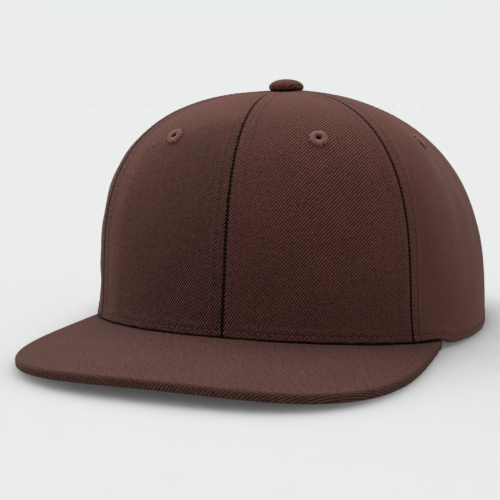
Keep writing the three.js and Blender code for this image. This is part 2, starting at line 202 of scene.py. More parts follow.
class CapColourSettings(bpy.types.PropertyGroup):
    """Colours of the cloth, the thread and the plastic."""

    # The valley colours are painted shade: the dark between the ribs of each weave, where the yarn
    # lies in shadow
    twill_rib: colour("Twill rib", "#835148", "Crown cloth on top of its ribs")
    twill_valley: colour("Twill valley", "#120a08", "Crown cloth between its ribs")
    brim_rib: colour("Brim rib", "#69453e", "Brim cloth on top of its ribs")
    brim_valley: colour("Brim valley", "#150c09", "Brim cloth between its ribs")
    thread: colour("Stitch thread", "#4a302b", "Thread of the topstitching")
    # Painted highlight: the hem row over the brim is the same thread as the rest, painted lighter
    # where it catches the light from above
    lit_foot_thread: colour("Hem thread", "#76554f", "Thread of the topstitching over the brim")
    eyelet: colour("Eyelet thread", "#865a52", "Thread of the eyelets")
    band_rib: colour("Band rib", "#4a332f", "Sweatband on top of its threads")
    band_valley: colour("Band valley", "#2c1c1a", "Sweatband between its threads")
    plastic: colour("Plastic", "#3a2724", "Snap strap")
    floor: colour("Floor", "#b9baba", "Floor")
    backdrop: colour("Backdrop", "#ebedec", "What shows beyond the floor")


class CapCameraSettings(bpy.types.PropertyGroup):
    """Where the camera stands and where it looks."""

    azimuth: turn("Azimuth", 18.145, "Bearing of the camera from the middle of the crown")
    elevation: turn("Elevation", 4.957, "Height of the camera over the middle of the crown")
    distance: length("Distance", 471.04, "Distance of the camera from the middle of the crown")
    middle_height: length("Middle height", 60, "Height of that middle over the ground")
    pan: turn("Pan", 2.01, "How far the camera looks to the left of that middle")
    tilt: turn("Tilt", 3.328, "How far the camera looks down from that middle")
    focal: length("Focal length", 73.55, "Focal length on a sensor 36 mm wide")


def apex_place():
    """Where the crown's axis stands in the frame, from the button's solid."""
    low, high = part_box("button")
    return (low.y + high.y) / 2


APEX_Y = apex_place()

# How often the span in which a value is searched for is halved
HALVINGS = 32


def folded(angle):
    """Angle from the front, without its side and at most 180 degrees."""
    size = np.abs(angle)
    return np.where(size > 180, 360 - size, size)


def section_share(column, angle):
    """Smooth curve through one column of the section table, level at both ends."""
    angles = np.array([row["angle"] for row in SECTIONS], float)
    values = np.array([row[column] for row in SECTIONS], float)
    slopes = np.zeros_like(values)
    slopes[1:-1] = (values[2:] - values[:-2]) / (angles[2:] - angles[:-2])
    around = folded(angle)
    i = np.clip(np.searchsorted(angles, around, side="right") - 1, 0, len(angles) - 2)
    span = angles[i + 1] - angles[i]
    u = (around - angles[i]) / span
    start = (2 * u**3 - 3 * u**2 + 1) * values[i] + (u**3 - 2 * u**2 + u) * span * slopes[i]
    end = (3 * u**2 - 2 * u**3) * values[i + 1] + (u**3 - u**2) * span * slopes[i + 1]
    return start + end


def hem_point(crown, angle):
    """Outline of the hem seen from above, from the crown's axis; angle 0 is the front."""
    s, c = np.sin(np.radians(angle)), np.cos(np.radians(angle))
    power = 2 / crown.hem_squareness
    x = crown.hem_half_width * np.sign(s) * np.abs(s) ** power
    y = crown.hem_set_back - crown.hem_half_length * np.sign(c) * np.abs(c) ** power
    return x, y


def crown_point(crown, angle, down):
    """Point on the outside of the crown; down runs from 0 at the apex to 1 at the hem."""
    angle, down = np.broadcast_arrays(np.asarray(angle, float), np.asarray(down, float))
    x, y = hem_point(crown, angle)
    up = 1 - down
    shoulder = section_share("shoulder", angle)
    first, second = 3 * up**2 * down, 3 * up * down**2
    reach = first * section_share("rise", angle) + down**3
    reach = reach + second * (1 + section_share("lean", angle) * shoulder)
    z = (up**3 + first + second * shoulder) * crown.height
    spread = crown.front_flare / crown.hem_half_width
    spread = spread * smooth(crown.flare_end, crown.flare_full, np.radians(folded(angle)))
    flare = 1 + spread * np.exp(-z / crown.flare_height)
    x, y = x * reach * flare, y * reach * flare
    near = (x**2 + y**2) / crown.dip_reach**2
    dip = crown.front_dip * near * np.exp(1 - near) * np.maximum(0, np.cos(np.radians(angle))) ** 2
    return np.stack([x, y + APEX_Y, z - dip], -1)


def unit(vectors):
    """The same vectors, one unit long."""
    return vectors / np.linalg.norm(vectors, axis=-1, keepdims=True)


def crown_normal(crown, angle, down):
    """Outward direction of the crown there."""
    step = 0.01
    lower = np.minimum(1, down + step)
    along = crown_point(crown, angle, lower) - crown_point(crown, angle, lower - 2 * step)
    around = crown_point(crown, angle + step, down) - crown_point(crown, angle - step, down)
    return unit(np.cross(along, around))


def crown_inset(crown, angle, down, depth):
    """Point at a depth below the outside of the crown."""
    inward = -np.asarray(depth, float)[..., None]
    return crown_point(crown, angle, down) + inward * crown_normal(crown, angle, down)


def turning_point(low, high, test):
    """Value between two limits above which a test holds, found by halving."""
    low, high = np.broadcast_arrays(np.asarray(low, float), np.asarray(high, float))
    for _ in range(HALVINGS):
        middle = (low + high) / 2
        held = test(middle)
        low, high = np.where(held, low, middle), np.where(held, middle, high)
    return high


def down_at_height(crown, angle, z, depth=0.0):
    """Share of the way down at which the crown, or the surface at a depth in it, is this high."""
    depth = np.broadcast_to(depth, np.shape(angle))

    def low_enough(down):
        return crown_inset(crown, angle, down, depth)[..., 2] <= z

    return turning_point(np.zeros(np.shape(angle)), 1, low_enough)


def down_at_radius(crown, angle, radius):
    """Share of the way down at which the crown is this far from its axis."""

    def far_enough(down):
        p = crown_point(crown, angle, down)
        return np.hypot(p[..., 0], p[..., 1] - APEX_Y) >= radius

    return turning_point(np.zeros(np.shape(angle)), 1, far_enough)


def seam_angle(name, down):
    """Angle of a seam round the crown, at a share of the way down."""
    seam = SEAMS[name]
    return seam["apex"] + (seam["hem"] - seam["apex"]) * down


def smooth(low, high, value):
    """0 below low, 1 above high and a smooth rise between. Where low is the larger, it falls."""
    t = np.clip((value - low) / (high - low), 0, 1)
    return t * t * (3 - 2 * t)


def brim_underside(brim, x):
    """Height of the brim's underside: its sides touch the ground and its middle is arched up."""
    return np.maximum(0, brim.arch * (1 - (x / brim.half_width) ** 2))


def brim_middle(crown, brim):
    """Where the brim's outline is widest, from the crown's axis."""
    return crown.hem_set_back - crown.hem_half_length - brim.reach + brim.side_depth


def brim_outline(crown, brim, direction):
    """Outline of the brim seen from above, from the crown's axis, in that direction in degrees."""
    s, c = np.sin(np.radians(direction)), np.cos(np.radians(direction))
    q = brim.squareness
    reach = ((np.abs(s) / brim.half_width) ** q + (np.abs(c) / brim.side_depth) ** q) ** (-1 / q)
    return reach * s, brim_middle(crown, brim) - reach * c


def brim_seat(crown, brim, angle, depth):
    """Foot of the crown where it stands on the brim, at a depth below its outside."""
    x, _ = hem_point(crown, angle)
    level = brim_underside(brim, x) + brim.thickness
    down = down_at_height(crown, angle, level, depth)
    return crown_inset(crown, angle, down, np.broadcast_to(depth, np.shape(angle)))


def find_brim_end(crown, brim):
    """Where the brim's sides run into the crown: an angle round it and a direction."""
    middle = brim_middle(crown, brim)

    def direction(angle):
        foot = brim_seat(crown, brim, angle, 0.0)
        return np.degrees(np.arctan2(foot[..., 0], middle - (foot[..., 1] - APEX_Y)))

    def past_outline(angle):
        foot = brim_seat(crown, brim, angle, 0.0)
        x, y = brim_outline(crown, brim, direction(angle))
        return np.hypot(x, y - middle) < np.hypot(foot[..., 0], foot[..., 1] - APEX_Y - middle)

    least, most = 30.0, 88.0
    angle = turning_point(np.array([least]), most, past_outline)
    return float(angle[0]), float(direction(angle)[0])


FOUND_ENDS = {}


def brim_end(crown, brim):
    """The same, found once for each set of sizes."""
    sizes = tuple(getattr(group, size) for group in (crown, brim) for size in group.__annotations__)
    if sizes not in FOUND_ENDS:
        FOUND_ENDS[sizes] = find_brim_end(crown, brim)
    return FOUND_ENDS[sizes]


def hem_height(brim, angle):
    """Height of the hem: on the ground behind, and rising from the side-back seams to the front."""
    part = np.minimum(1, folded(angle) / SEAMS["side_back"]["hem"])
    return brim.arch / 2 * (1 + np.cos(part * np.pi))


# Degrees round the crown over which the hem comes down from the brim
HEM_DROP = 5


def foot_height(crown, brim, angle):
    """Height of the lower edge of the cloth: on the brim in front, and along the hem behind it."""
    x, _ = hem_point(crown, angle)
    on_brim = brim_underside(brim, x) + brim.thickness
    end, _ = brim_end(crown, brim)
    beside = smooth(end + HEM_DROP, end, folded(angle))
    return hem_height(brim, angle) * (1 - beside) + on_brim * beside


def run_lengths(points):
    """Length along rows of points, from the first one, on the first axis."""
    steps = np.linalg.norm(np.diff(points, axis=0), axis=-1)
    return np.concatenate([np.zeros((1,) + steps.shape[1:]), np.cumsum(steps, axis=0)])


def distance_to(points, line):
    """Distance of each point from the nearest of the points of a line."""
    at_a_time = 2000
    found = [
        np.sqrt(((part[:, None, :] - line[None, :, :]) ** 2).sum(-1)).min(1)
        for part in np.array_split(points, max(1, len(points) // at_a_time))
    ]
    return np.concatenate(found)


def ripple(across, along, seed, longest):
    """Gentle uneven waves over cloth, about -1 to 1, the same each time for one seed."""
    waves, fullness = 7, 1.6
    draw = np.random.default_rng(seed)
    total = np.zeros(np.broadcast(across, along).shape)
    for _ in range(waves):
        heading = draw.uniform(0, 2 * np.pi)
        size = longest * draw.uniform(0.35, 1.0)
        phase = draw.uniform(0, 2 * np.pi)
        way = across * np.cos(heading) + along * np.sin(heading)
        total = total + np.sin(2 * np.pi * way / size + phase) / waves
    return total * fullness


def bell(value, middle, width):
    """1 at the middle, falling away to nothing on both sides of it."""
    return np.exp(-(((value - middle) / width) ** 2))


def new_piece(name, points, faces, attributes=None):
    """A smooth mesh object from points and lists of faces with three or four corners."""
    faces = [np.asarray(f, np.int64) for f in faces if len(f)]
    used = np.unique(np.concatenate([f.ravel() for f in faces]))
    renumber = np.zeros(len(points), np.int64)
    renumber[used] = np.arange(len(used))
    corners = np.concatenate([renumber[f].ravel() for f in faces])
    sizes = np.concatenate([np.full(len(f), f.shape[1]) for f in faces])
    mesh = bpy.data.meshes.new(name)
    mesh.vertices.add(len(used))
    mesh.vertices.foreach_set("co", np.asarray(points, np.float32)[used].ravel())
    mesh.loops.add(len(corners))
    mesh.loops.foreach_set("vertex_index", corners.astype(np.int32))
    mesh.polygons.add(len(sizes))
    mesh.polygons.foreach_set("loop_start", (np.cumsum(sizes) - sizes).astype(np.int32))
    mesh.update(calc_edges=True)
    mesh.polygons.foreach_set("use_smooth", np.ones(len(sizes), bool))
    for key, values in (attributes or {}).items():
        layer = mesh.attributes.new(key, "FLOAT_VECTOR", "POINT")
        layer.data.foreach_set("vector", np.asarray(values, np.float32)[used].ravel())
    piece = bpy.data.objects.new(name, mesh)
    bpy.context.scene.collection.objects.link(piece)
    return piece


def fit(piece, material, slot, *nodes):
    """Gives a piece its material and its body, and hides the solids that it stands for. slot is not
    used.
    """
    piece.data.materials.append(material)
    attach(piece, "root")
    if nodes:
        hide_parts(*nodes)


def sheet_faces(columns, rows, keep=None, flip=False):
    """Faces of a closed shell between an outer and an inner sheet of columns by rows points.
    keep marks the cells that have cloth; flip turns the faces over for a mirrored sheet."""
    keep = np.ones((columns - 1, rows - 1), bool) if keep is None else keep
    i, k = np.nonzero(keep)

    def outer(a, b):
        return a * rows + b

    def inner(a, b):
        return columns * rows + outer(a, b)

    faces = [
        np.stack([outer(i, k), outer(i, k + 1), outer(i + 1, k + 1), outer(i + 1, k)], -1),
        np.stack([inner(i, k), inner(i + 1, k), inner(i + 1, k + 1), inner(i, k + 1)], -1),
    ]

    # Walls between the sheets, wherever cloth ends
    padded = np.zeros((columns + 1, rows + 1), bool)
    padded[1:-1, 1:-1] = keep
    before, after = padded[:-1, 1:-1], padded[1:, 1:-1]
    i, k = np.nonzero(after & ~before)
    faces.append(np.stack([outer(i, k + 1), outer(i, k), inner(i, k), inner(i, k + 1)], -1))
    i, k = np.nonzero(before & ~after)
    faces.append(np.stack([outer(i, k), outer(i, k + 1), inner(i, k + 1), inner(i, k)], -1))
    above, below = padded[1:-1, :-1], padded[1:-1, 1:]
    i, k = np.nonzero(below & ~above)
    faces.append(np.stack([outer(i, k), outer(i + 1, k), inner(i + 1, k), inner(i, k)], -1))
    i, k = np.nonzero(above & ~below)
    faces.append(np.stack([outer(i + 1, k), outer(i, k), inner(i, k), inner(i + 1, k)], -1))
    return [f[:, ::-1] for f in faces] if flip else faces


def lathe_faces(sides, rings, closed=True):
    """Faces between rings of points; closed joins the last ring to the first."""
    i = np.arange(sides)
    j = (i + 1) % sides
    starts = [(sides * r, sides * ((r + 1) % rings)) for r in range(rings if closed else rings - 1)]
    return [np.stack([i + this, j + this, j + other, i + other], -1) for this, other in starts]


def fan_faces(sides, rings, first, last):
    """Faces from the first ring to one point and from the last ring to another."""
    i = np.arange(sides)
    j = (i + 1) % sides
    end = sides * (rings - 1)
    return [
        np.stack([j, i, np.full(sides, first)], -1),
        np.stack([i + end, j + end, np.full(sides, last)], -1),
    ]


def directions_round(normal, spin):
    """Directions at those turns round a normal, in the plane that it stands on."""
    across = unit(np.cross([0.0, 0.0, 1.0], normal))
    upward = np.cross(normal, across)
    return np.cos(spin)[:, None] * across + np.sin(spin)[:, None] * upward


def rolled(distance, radius):
    """How deep a rounded edge lies below the surface at a distance from the edge."""
    short = np.clip(radius - distance, 0, radius)
    return radius - np.sqrt(np.maximum(radius**2 - short**2, 0))


# How the crown's cloth is divided: the width of the zone beside a seam or hem in which the steps
# get closer and their number there, the step between rows elsewhere, and how far from the crown's
# axis a panel ends, under the button
EDGE_ZONE = 7.2 * MM
EDGE_STEPS = 24
EDGE_CLOSENESS = 1.35
ROW_STEP = 0.75 * MM
TIP_RADIUS = 2.2 * MM

# Relief of the crown's cloth: its waves in a stiff and in a soft panel, their length and the width
# over which they fade towards an edge, the cloth folded under at the hem, the step at the end of a
# fold, the groove that a row of stitches draws in, and the pucker along a seam
STIFF_WAVES = 0.12 * MM
SOFT_WAVES = 0.34 * MM
WAVE_LENGTH = 46 * MM
WAVE_FADE = 14 * MM
HEM_FOLD = 4.6 * MM
HEM_RISE = 0.7
FOLD_STEP = 1.3 * MM
GROOVE = 0.16 * MM
ARCH_GROOVE = 0.14 * MM
GROOVE_WIDTH = 0.55 * MM
PUCKER = 0.13 * MM
PUCKER_WIDTH = 2.0 * MM
PUCKER_LENGTH = 23 * MM

# The share of an eyelet's radius in which the panel's cloth is cut away
CUT_SHARE = 0.62

# Distance between the places where its thread draws a seam in, which makes the edge of the
# painted seam shade jagged, and how many times finer the twill runs over the crown than its weave says
SEAM_TEETH = 1.7 * MM
RIB_FINENESS = 1.25

# How the twill of a front panel shows, for the left (1) and the right (-1): the shares of the way
# down between which it comes in below the pressed top, the width of the pressed strip beside the
# outer seam, and how bold the ribs are
FRONT_TWILL = {
    1: {"top": (0.2, 0.3), "strip": 3 * MM, "boldness": 0.75},
    -1: {"top": (0.34, 0.46), "strip": 24 * MM, "boldness": 1.75},
}
UPPER_STRIP = 10 * MM
PRESSED = 0.12

# On the wearer's right the front panel's ribs open up towards the outer seam, and that seam's
# painted shade is drawn wider, so that both still show where the panel turns away
RIB_SPREAD = 0.55
WIDE_SEAM_SHADE = 0.36

# How much further off the centre front seam counts near its top, where it is pressed flat, so
# that less painted shade falls along it there
PRESSED_SEAM = 0.5 * MM


def edge_steps():
    """Shares of the edge zone at which the cloth is divided, closer towards the edge."""
    return np.linspace(0, 1, EDGE_STEPS) ** EDGE_CLOSENESS


def places_across(width, columns):
    """Places of a panel's columns over a width, close beside both seams."""
    widest_zone = 0.42
    zone = np.minimum(EDGE_ZONE, widest_zone * width)[..., None]
    middle = np.linspace(0, 1, columns + 2)[1:-1]
    width = width[..., None]
    return np.concatenate([
        zone * edge_steps(),
        zone + (width - 2 * zone) * middle,
        width - zone * edge_steps()[::-1],
    ], -1)


def arch_line(crown, count):
    """Angle and share down of points on the edge of the rear opening, from its foot to its top."""
    way = np.radians(np.linspace(0, 90, count))
    x = crown.arch_half_width * np.cos(way)
    z = crown.arch_height * np.sin(way)

    def narrower(angle):
        down = down_at_height(crown, angle, z)
        return crown_point(crown, angle, down)[..., 0] <= x

    angle = turning_point(np.full(count, 90.0), 180.0, narrower)
    return angle, down_at_height(crown, angle, z)


def panel_foot(crown, brim, panel):
    """Lower edge of a panel, as its share across the panel and its share down."""
    count = 260
    across = np.linspace(0, 1, count)
    at_hem = [seam_angle(panel[side], 1.0) for side in ("near", "far")]
    if panel["name"] != "back":
        angle = at_hem[0] + (at_hem[1] - at_hem[0]) * across
        return across, down_at_height(crown, angle, foot_height(crown, brim, angle))
    angle, down = arch_line(crown, count)
    near, far = seam_angle(panel["near"], down), seam_angle(panel["far"], down)
    arch = (angle - near) / (far - near)
    hem = np.linspace(0, arch[0], count // 2, endpoint=False)
    return np.concatenate([hem, arch]), np.concatenate([np.ones(len(hem)), down])


def panel_grid(crown, brim, panel):
    """Angle and share down at each column and row of a panel, with what the cloth needs there."""
    foot_across, foot_down = panel_foot(crown, brim, panel)

    def angle_at(across, down):
        near, far = seam_angle(panel["near"], down), seam_angle(panel["far"], down)
        return near + (far - near) * across

    foot_points = crown_point(crown, angle_at(foot_across, foot_down), foot_down)
    foot_run = run_lengths(foot_points)
    stops = places_across(foot_run[-1:], panel["columns"])[0]
    end_across = np.interp(stops, foot_run, foot_across)
    end_down = np.interp(stops, foot_run, foot_down)

    tip = down_at_radius(crown, angle_at(0.5, 0.0), TIP_RADIUS)
    levels, spots, fine_levels = 160, 33, 300
    table = np.linspace(tip, 1, levels)
    angles = angle_at(np.linspace(0, 1, spots)[:, None], table)
    widths = run_lengths(crown_point(crown, angles, table))[-1]
    across_table = places_across(widths, panel["columns"]) / widths[:, None]

    # The columns run evenly between the seams at first, and then bend to their places on the edge
    dense = np.linspace(0, 1, fine_levels)[:, None]
    down = tip + (end_down - tip) * dense
    column = np.arange(len(stops))[None, :]
    place = (down - table[0]) / (table[1] - table[0])
    low = np.clip(place.astype(int), 0, len(table) - 2)
    part = place - low
    across = across_table[low, column] * (1 - part) + across_table[low + 1, column] * part
    pull = dense**3
    across = across * (1 - pull) + end_across * pull
    runs = run_lengths(crown_point(crown, angle_at(across, down), down))

    longest = runs[-1].max()
    rows = int((longest - EDGE_ZONE) / ROW_STEP)
    upper = np.linspace(0, 1, rows, endpoint=False)[:, None] * (runs[-1] - EDGE_ZONE)
    lower = runs[-1] - EDGE_ZONE * edge_steps()[::-1][:, None]
    wanted = np.concatenate([upper, lower])
    picked = [
        [np.interp(wanted[:, i], runs[:, i], values[:, i]) for i in range(len(stops))]
        for values in (across, down)
    ]
    across, down = np.array(picked[0]), np.array(picked[1])
    angle = angle_at(across, down)
    middle_run = run_lengths(crown_point(crown, angle_at(0.5, table), table))
    width = np.interp(down, table, widths)
    return {
        "angle": angle,
        "down": down,
        "near": across * width,
        "far": (1 - across) * width,
        "u": (across - 0.5) * width,
        "v": middle_run[-1] - np.interp(down, table, middle_run),
        "foot_line": foot_points,
    }


def panel_mirrored(points, sign):
    """Points of a panel of the wearer's left, or the same on the right."""
    return points * np.array([sign, 1, 1])


def eyelet_place(panel, sign):
    """Angle and share down of a panel's eyelet."""
    down = panel["down"]
    near, far = seam_angle(panel["near"], down), seam_angle(panel["far"], down)
    return sign * (near + (far - near) * panel["across"]), down


def rib_strength(panel, sign, grid):
    """How clearly the twill shows: pressed smooth near the top and beside the outer seams."""
    twill = FRONT_TWILL[sign]
    top_fade = smooth(*twill["top"], grid["down"])
    strip_width = UPPER_STRIP + (twill["strip"] - UPPER_STRIP) * smooth(0.3, 0.5, grid["down"])
    side_fade = smooth(0.4 * strip_width, strip_width, grid["far"])
    fade = PRESSED + (1 - PRESSED) * top_fade * side_fade if panel["name"] == "front" else 1.0
    return panel["ribs"] * twill["boldness"] * fade * np.ones_like(grid["down"])


def seam_shade_distance(panel, sign, grid):
    """Distance from the seams for the painted seam shade: less where that shade is drawn wider,
    and more where the centre seam is pressed flat near the top, so that less shade is painted there."""
    near, far = grid["near"], grid["far"]
    if panel["name"] == "front":
        near = near + PRESSED_SEAM * smooth(0.32, 0.12, grid["down"])
    shade_widening = 1 - (1 - WIDE_SEAM_SHADE) * smooth(0.1, 0.4, grid["down"]) * (sign < 0)
    near = near * (shade_widening if panel["name"] == "side" else 1)
    far = far * (shade_widening if panel["name"] == "front" else 1)
    return np.minimum(near, far)


def build_panel(crown, brim, stitch, panel, side, sign):
    """One crown panel: an outer and an inner sheet with rolled seams, welts and an eyelet's hole."""
    grid = panel_grid(crown, brim, panel)
    angle, down = grid["angle"], grid["down"]
    flat = crown_point(crown, angle, down)
    normal = crown_normal(crown, angle, down)
    columns, rows = down.shape
    seam = np.minimum(grid["near"], grid["far"])
    foot = distance_to(flat.reshape(-1, 3), grid["foot_line"]).reshape(columns, rows)
    run = run_lengths(np.swapaxes(flat, 0, 1)).T

    seed = 11 + 2 * PANELS.index(panel) + (sign > 0)
    stiff = panel["name"] == "front"
    waves = STIFF_WAVES if stiff else SOFT_WAVES
    waves = waves * ripple(grid["u"], grid["v"], seed, WAVE_LENGTH)
    waves = waves * smooth(0, WAVE_FADE, seam) * smooth(0, WAVE_FADE, foot)
    welt = crown.welt * (1 - smooth(crown.welt_width, crown.welt_width + FOLD_STEP, seam))
    fold = crown.arch_fold if panel["name"] == "back" else HEM_FOLD
    hem_welt = HEM_RISE * crown.welt * (1 - smooth(fold, fold + FOLD_STEP, foot))
    groove = GROOVE * bell(seam, stitch.seam_offset, GROOVE_WIDTH)
    groove = groove + GROOVE * bell(foot, stitch.foot_offset, GROOVE_WIDTH)
    if panel["name"] == "back":
        groove = groove + ARCH_GROOVE * bell(foot, stitch.arch_offset, GROOVE_WIDTH)
    tight = 0.5 + 0.5 * ripple(run, seam * 0, seed + 50, PUCKER_LENGTH)
    pucker = np.sin(2 * np.pi * run / stitch.pitch) * np.exp(-seam / PUCKER_WIDTH)
    pucker = PUCKER * tight * pucker
    edge = np.maximum(rolled(seam, crown.seam_roll), rolled(foot, crown.seam_roll))
    rise = waves + np.maximum(welt, hem_welt) - groove + pucker - edge
    outer = flat + rise[..., None] * normal
    inner_depth = crown.wall - rolled(foot, 0.6 * crown.seam_roll)
    inner = flat - inner_depth[..., None] * normal

    eyelet_angle, eyelet_down = eyelet_place(panel, 1)
    centre = crown_point(crown, eyelet_angle, eyelet_down)
    cell = (flat[:-1, :-1] + flat[1:, :-1] + flat[:-1, 1:] + flat[1:, 1:]) / 4
    keep = np.linalg.norm(cell - centre, axis=-1) > CUT_SHARE * stitch.eyelet_radius
    points = np.concatenate([outer.reshape(-1, 3), inner.reshape(-1, 3)])
    across = sign * RIB_FINENESS * grid["u"]
    if stiff and sign < 0:
        spread = 1 - 0.5 * RIB_SPREAD * grid["near"] / (grid["near"] + grid["far"])
        across = -RIB_FINENESS * grid["near"] * spread
    cloth = [across, RIB_FINENESS * grid["v"], rib_strength(panel, sign, grid)]
    cloth = np.stack(cloth, -1).reshape(-1, 3)
    # Distances for the painted shade in the seams and in the crease over the brim. The crease, and
    # its painted shade, ends with the brim
    end, _ = brim_end(crown, brim)
    creased = foot + 4 * MM * smooth(end - 1, end + 3, angle)
    beside = np.stack([seam_shade_distance(panel, sign, grid), run, creased], -1).reshape(-1, 3)
    return new_piece(
        f"{panel['name']}_cloth_{side}",
        panel_mirrored(points, sign),
        sheet_faces(columns, rows, keep, flip=sign < 0),
        {"cloth": np.tile(cloth, (2, 1)), "beside": np.tile(beside, (2, 1))},
    )


def stitch_shape():
    """Points and faces of one plump stitch, one unit long, wide and high."""
    sides, turns, fullness = 6, np.radians([-62, -24, 24, 62]), 0.6
    spin = np.arange(sides) * 2 * np.pi / sides
    rings = []
    for turned in turns:
        size = np.cos(turned) ** fullness
        rings.append(
            np.stack([np.full(sides, np.sin(turned)), size * np.cos(spin), size * np.sin(spin)], -1)
        )
    points = np.concatenate([*rings, [[-1.0, 0, 0]], [[1.0, 0, 0]]]) / 2
    quads = lathe_faces(sides, len(turns), closed=False)
    fans = fan_faces(sides, len(turns), len(points) - 2, len(points) - 1)
    return points, np.concatenate(quads), np.concatenate(fans)


def stitch_row(line, normals, stitch):
    """Centres and directions of the stitches along a line on the cloth."""
    run = run_lengths(line)
    count = int(run[-1] / stitch.pitch)
    middles = (np.arange(count) + 0.5) * run[-1] / count
    ahead = middles + 0.1 * stitch.pitch
    centre = np.stack([np.interp(middles, run, line[:, a]) for a in range(3)], -1)
    along = unit(np.stack([np.interp(ahead, run, line[:, a]) for a in range(3)], -1) - centre)
    up = unit(np.stack([np.interp(middles, run, normals[:, a]) for a in range(3)], -1))
    return centre, along, up


def sew(name, rows, stitch, material, slot):
    """One piece with all the stitches of some rows."""
    shape, quads, fans = stitch_shape()
    centre, along, up = (np.concatenate([row[k] for row in rows]) for k in range(3))
    across = unit(np.cross(up, along))
    up = np.cross(along, across)
    draw = np.random.default_rng(len(centre))
    long = stitch.stitch * draw.uniform(0.9, 1.08, len(centre))
    wide = np.full_like(long, stitch.thickness)
    size = np.stack([long, wide, 0.9 * wide], -1)
    local = shape[None] * size[:, None, :]
    points = centre[:, None] + local[..., :1] * along[:, None] + local[..., 1:2] * across[:, None]
    points = points + local[..., 2:] * up[:, None]
    offsets = (np.arange(len(centre)) * len(shape))[:, None, None]
    faces = [(quads[None] + offsets).reshape(-1, 4), (fans[None] + offsets).reshape(-1, 3)]
    fit(new_piece(name, points.reshape(-1, 3), faces), material, slot)


# Distance from the crown's axis at which the rows beside the seams start, at the button's foot,
# and how deep the stitches beside the seams and over the hem are drawn into the folded cloth
ROW_START = 8.6 * MM
SUNK_STITCH = 0.11 * MM
SUNK_HEM_STITCH = 0.08 * MM


def seam_rows(crown, brim, stitch, name, sign):
    """The two topstitch rows beside a seam, on one side of the cap or on its middle."""
    count, short_of_arch, short_of_hem, widest = 220, 0.02, 0.004, 0.32
    top = down_at_radius(crown, np.array(seam_angle(name, 0.0)), ROW_START)
    angle_hem = np.array(seam_angle(name, 1.0))
    if name == "centre_back":
        bottom = down_at_height(crown, angle_hem, crown.arch_height) - short_of_arch
    else:
        foot = foot_height(crown, brim, angle_hem)
        bottom = down_at_height(crown, angle_hem, foot) - short_of_hem
    down = np.linspace(top, bottom, count)
    lift = crown.welt - SUNK_STITCH
    rows = []
    for way in (-1, 1):
        p = crown_point(crown, seam_angle(name, down), down)
        radius = np.hypot(p[:, 0], p[:, 1] - APEX_Y)
        shift = np.degrees(np.minimum(stitch.seam_offset, widest * radius) / radius)
        angle = seam_angle(name, down) + way * shift
        line = crown_inset(crown, angle, down, np.full_like(angle, -lift))
        normals = crown_normal(crown, angle, down)
        rows.append(stitch_row(panel_mirrored(line, sign), panel_mirrored(normals, sign), stitch))
    return rows


def offset_line(crown, angle, down, offset):
    """A line round the rear opening moved by a distance over the surface, away from the opening."""
    line = crown_point(crown, angle, down)
    normal = crown_normal(crown, angle, down)
    along = unit(np.gradient(line, axis=0))
    moved = line + offset * np.cross(normal, along)
    return moved, normal


class CAP_OT_crown_cloth(bpy.types.Operator):
    """Make the six crown panels, with rolled seams, welts and holes for the eyelets"""

    bl_idname = "cap.crown_cloth"
    bl_label = "Crown panels"

    def execute(self, context):
        scene = context.scene
        material = twill_material(scene.cap_colours)
        for panel in PANELS:
            for side, sign in SIDES:
                piece = build_panel(
                    scene.cap_crown, scene.cap_brim, scene.cap_stitch, panel, side, sign
                )
                fit(piece, material, "crown_twill", f"{panel['name']}_panel_{side}")
        return {"FINISHED"}


class CAP_OT_topstitching(bpy.types.Operator):
    """Sew the topstitching beside the seams, over the hem and round the rear opening"""

    bl_idname = "cap.topstitching"
    bl_label = "Topstitching"

    def execute(self, context):
        scene = context.scene
        crown, brim, stitch = scene.cap_crown, scene.cap_brim, scene.cap_stitch
        material = thread_material("stitching thread", scene.cap_colours.thread)
        rows = []
        for name in SEAMS:
            on_the_middle = name in ("centre_front", "centre_back")
            for sign in (1,) if on_the_middle else (1, -1):
                rows += seam_rows(crown, brim, stitch, name, sign)

        # The hem's rows: over the brim, and behind it on either side
        foot = arch_line(crown, 2)[0][0]
        lift = HEM_RISE * crown.welt - SUNK_HEM_STITCH
        end, _ = brim_end(crown, brim)
        hem_rows = []
        hem_count, arch_count = 500, 160
        for start, stop in ((-end, end), (end, foot), (-foot, -end)):
            angle = np.linspace(start, stop, hem_count)
            down = down_at_height(crown, angle, foot_height(crown, brim, angle) + stitch.foot_offset)
            normals = crown_normal(crown, angle, down)
            hem_rows.append(
                stitch_row(crown_point(crown, angle, down) + lift * normals, normals, stitch)
            )
        rows += hem_rows[1:]

        arch_angle, arch_down = arch_line(crown, arch_count)
        for offset in (stitch.foot_offset, stitch.arch_offset):
            line, normals = offset_line(crown, arch_angle, arch_down, offset)
            line = line + lift * normals
            above = line[:, 2] > 0.6 * stitch.foot_offset
            for sign in (1, -1):
                rows.append(stitch_row(
                    panel_mirrored(line[above], sign), panel_mirrored(normals[above], sign), stitch
                ))
        sew("seam_topstitching", rows, stitch, material, "crown_twill")
        # The hem row over the brim has a painted highlight: its thread is painted lighter where it
        # catches the light from above
        over_brim = thread_material("hem thread painted lighter", scene.cap_colours.lit_foot_thread)
        sew("hem_topstitching", hem_rows[:1], stitch, over_brim, "crown_twill")
        return {"FINISHED"}


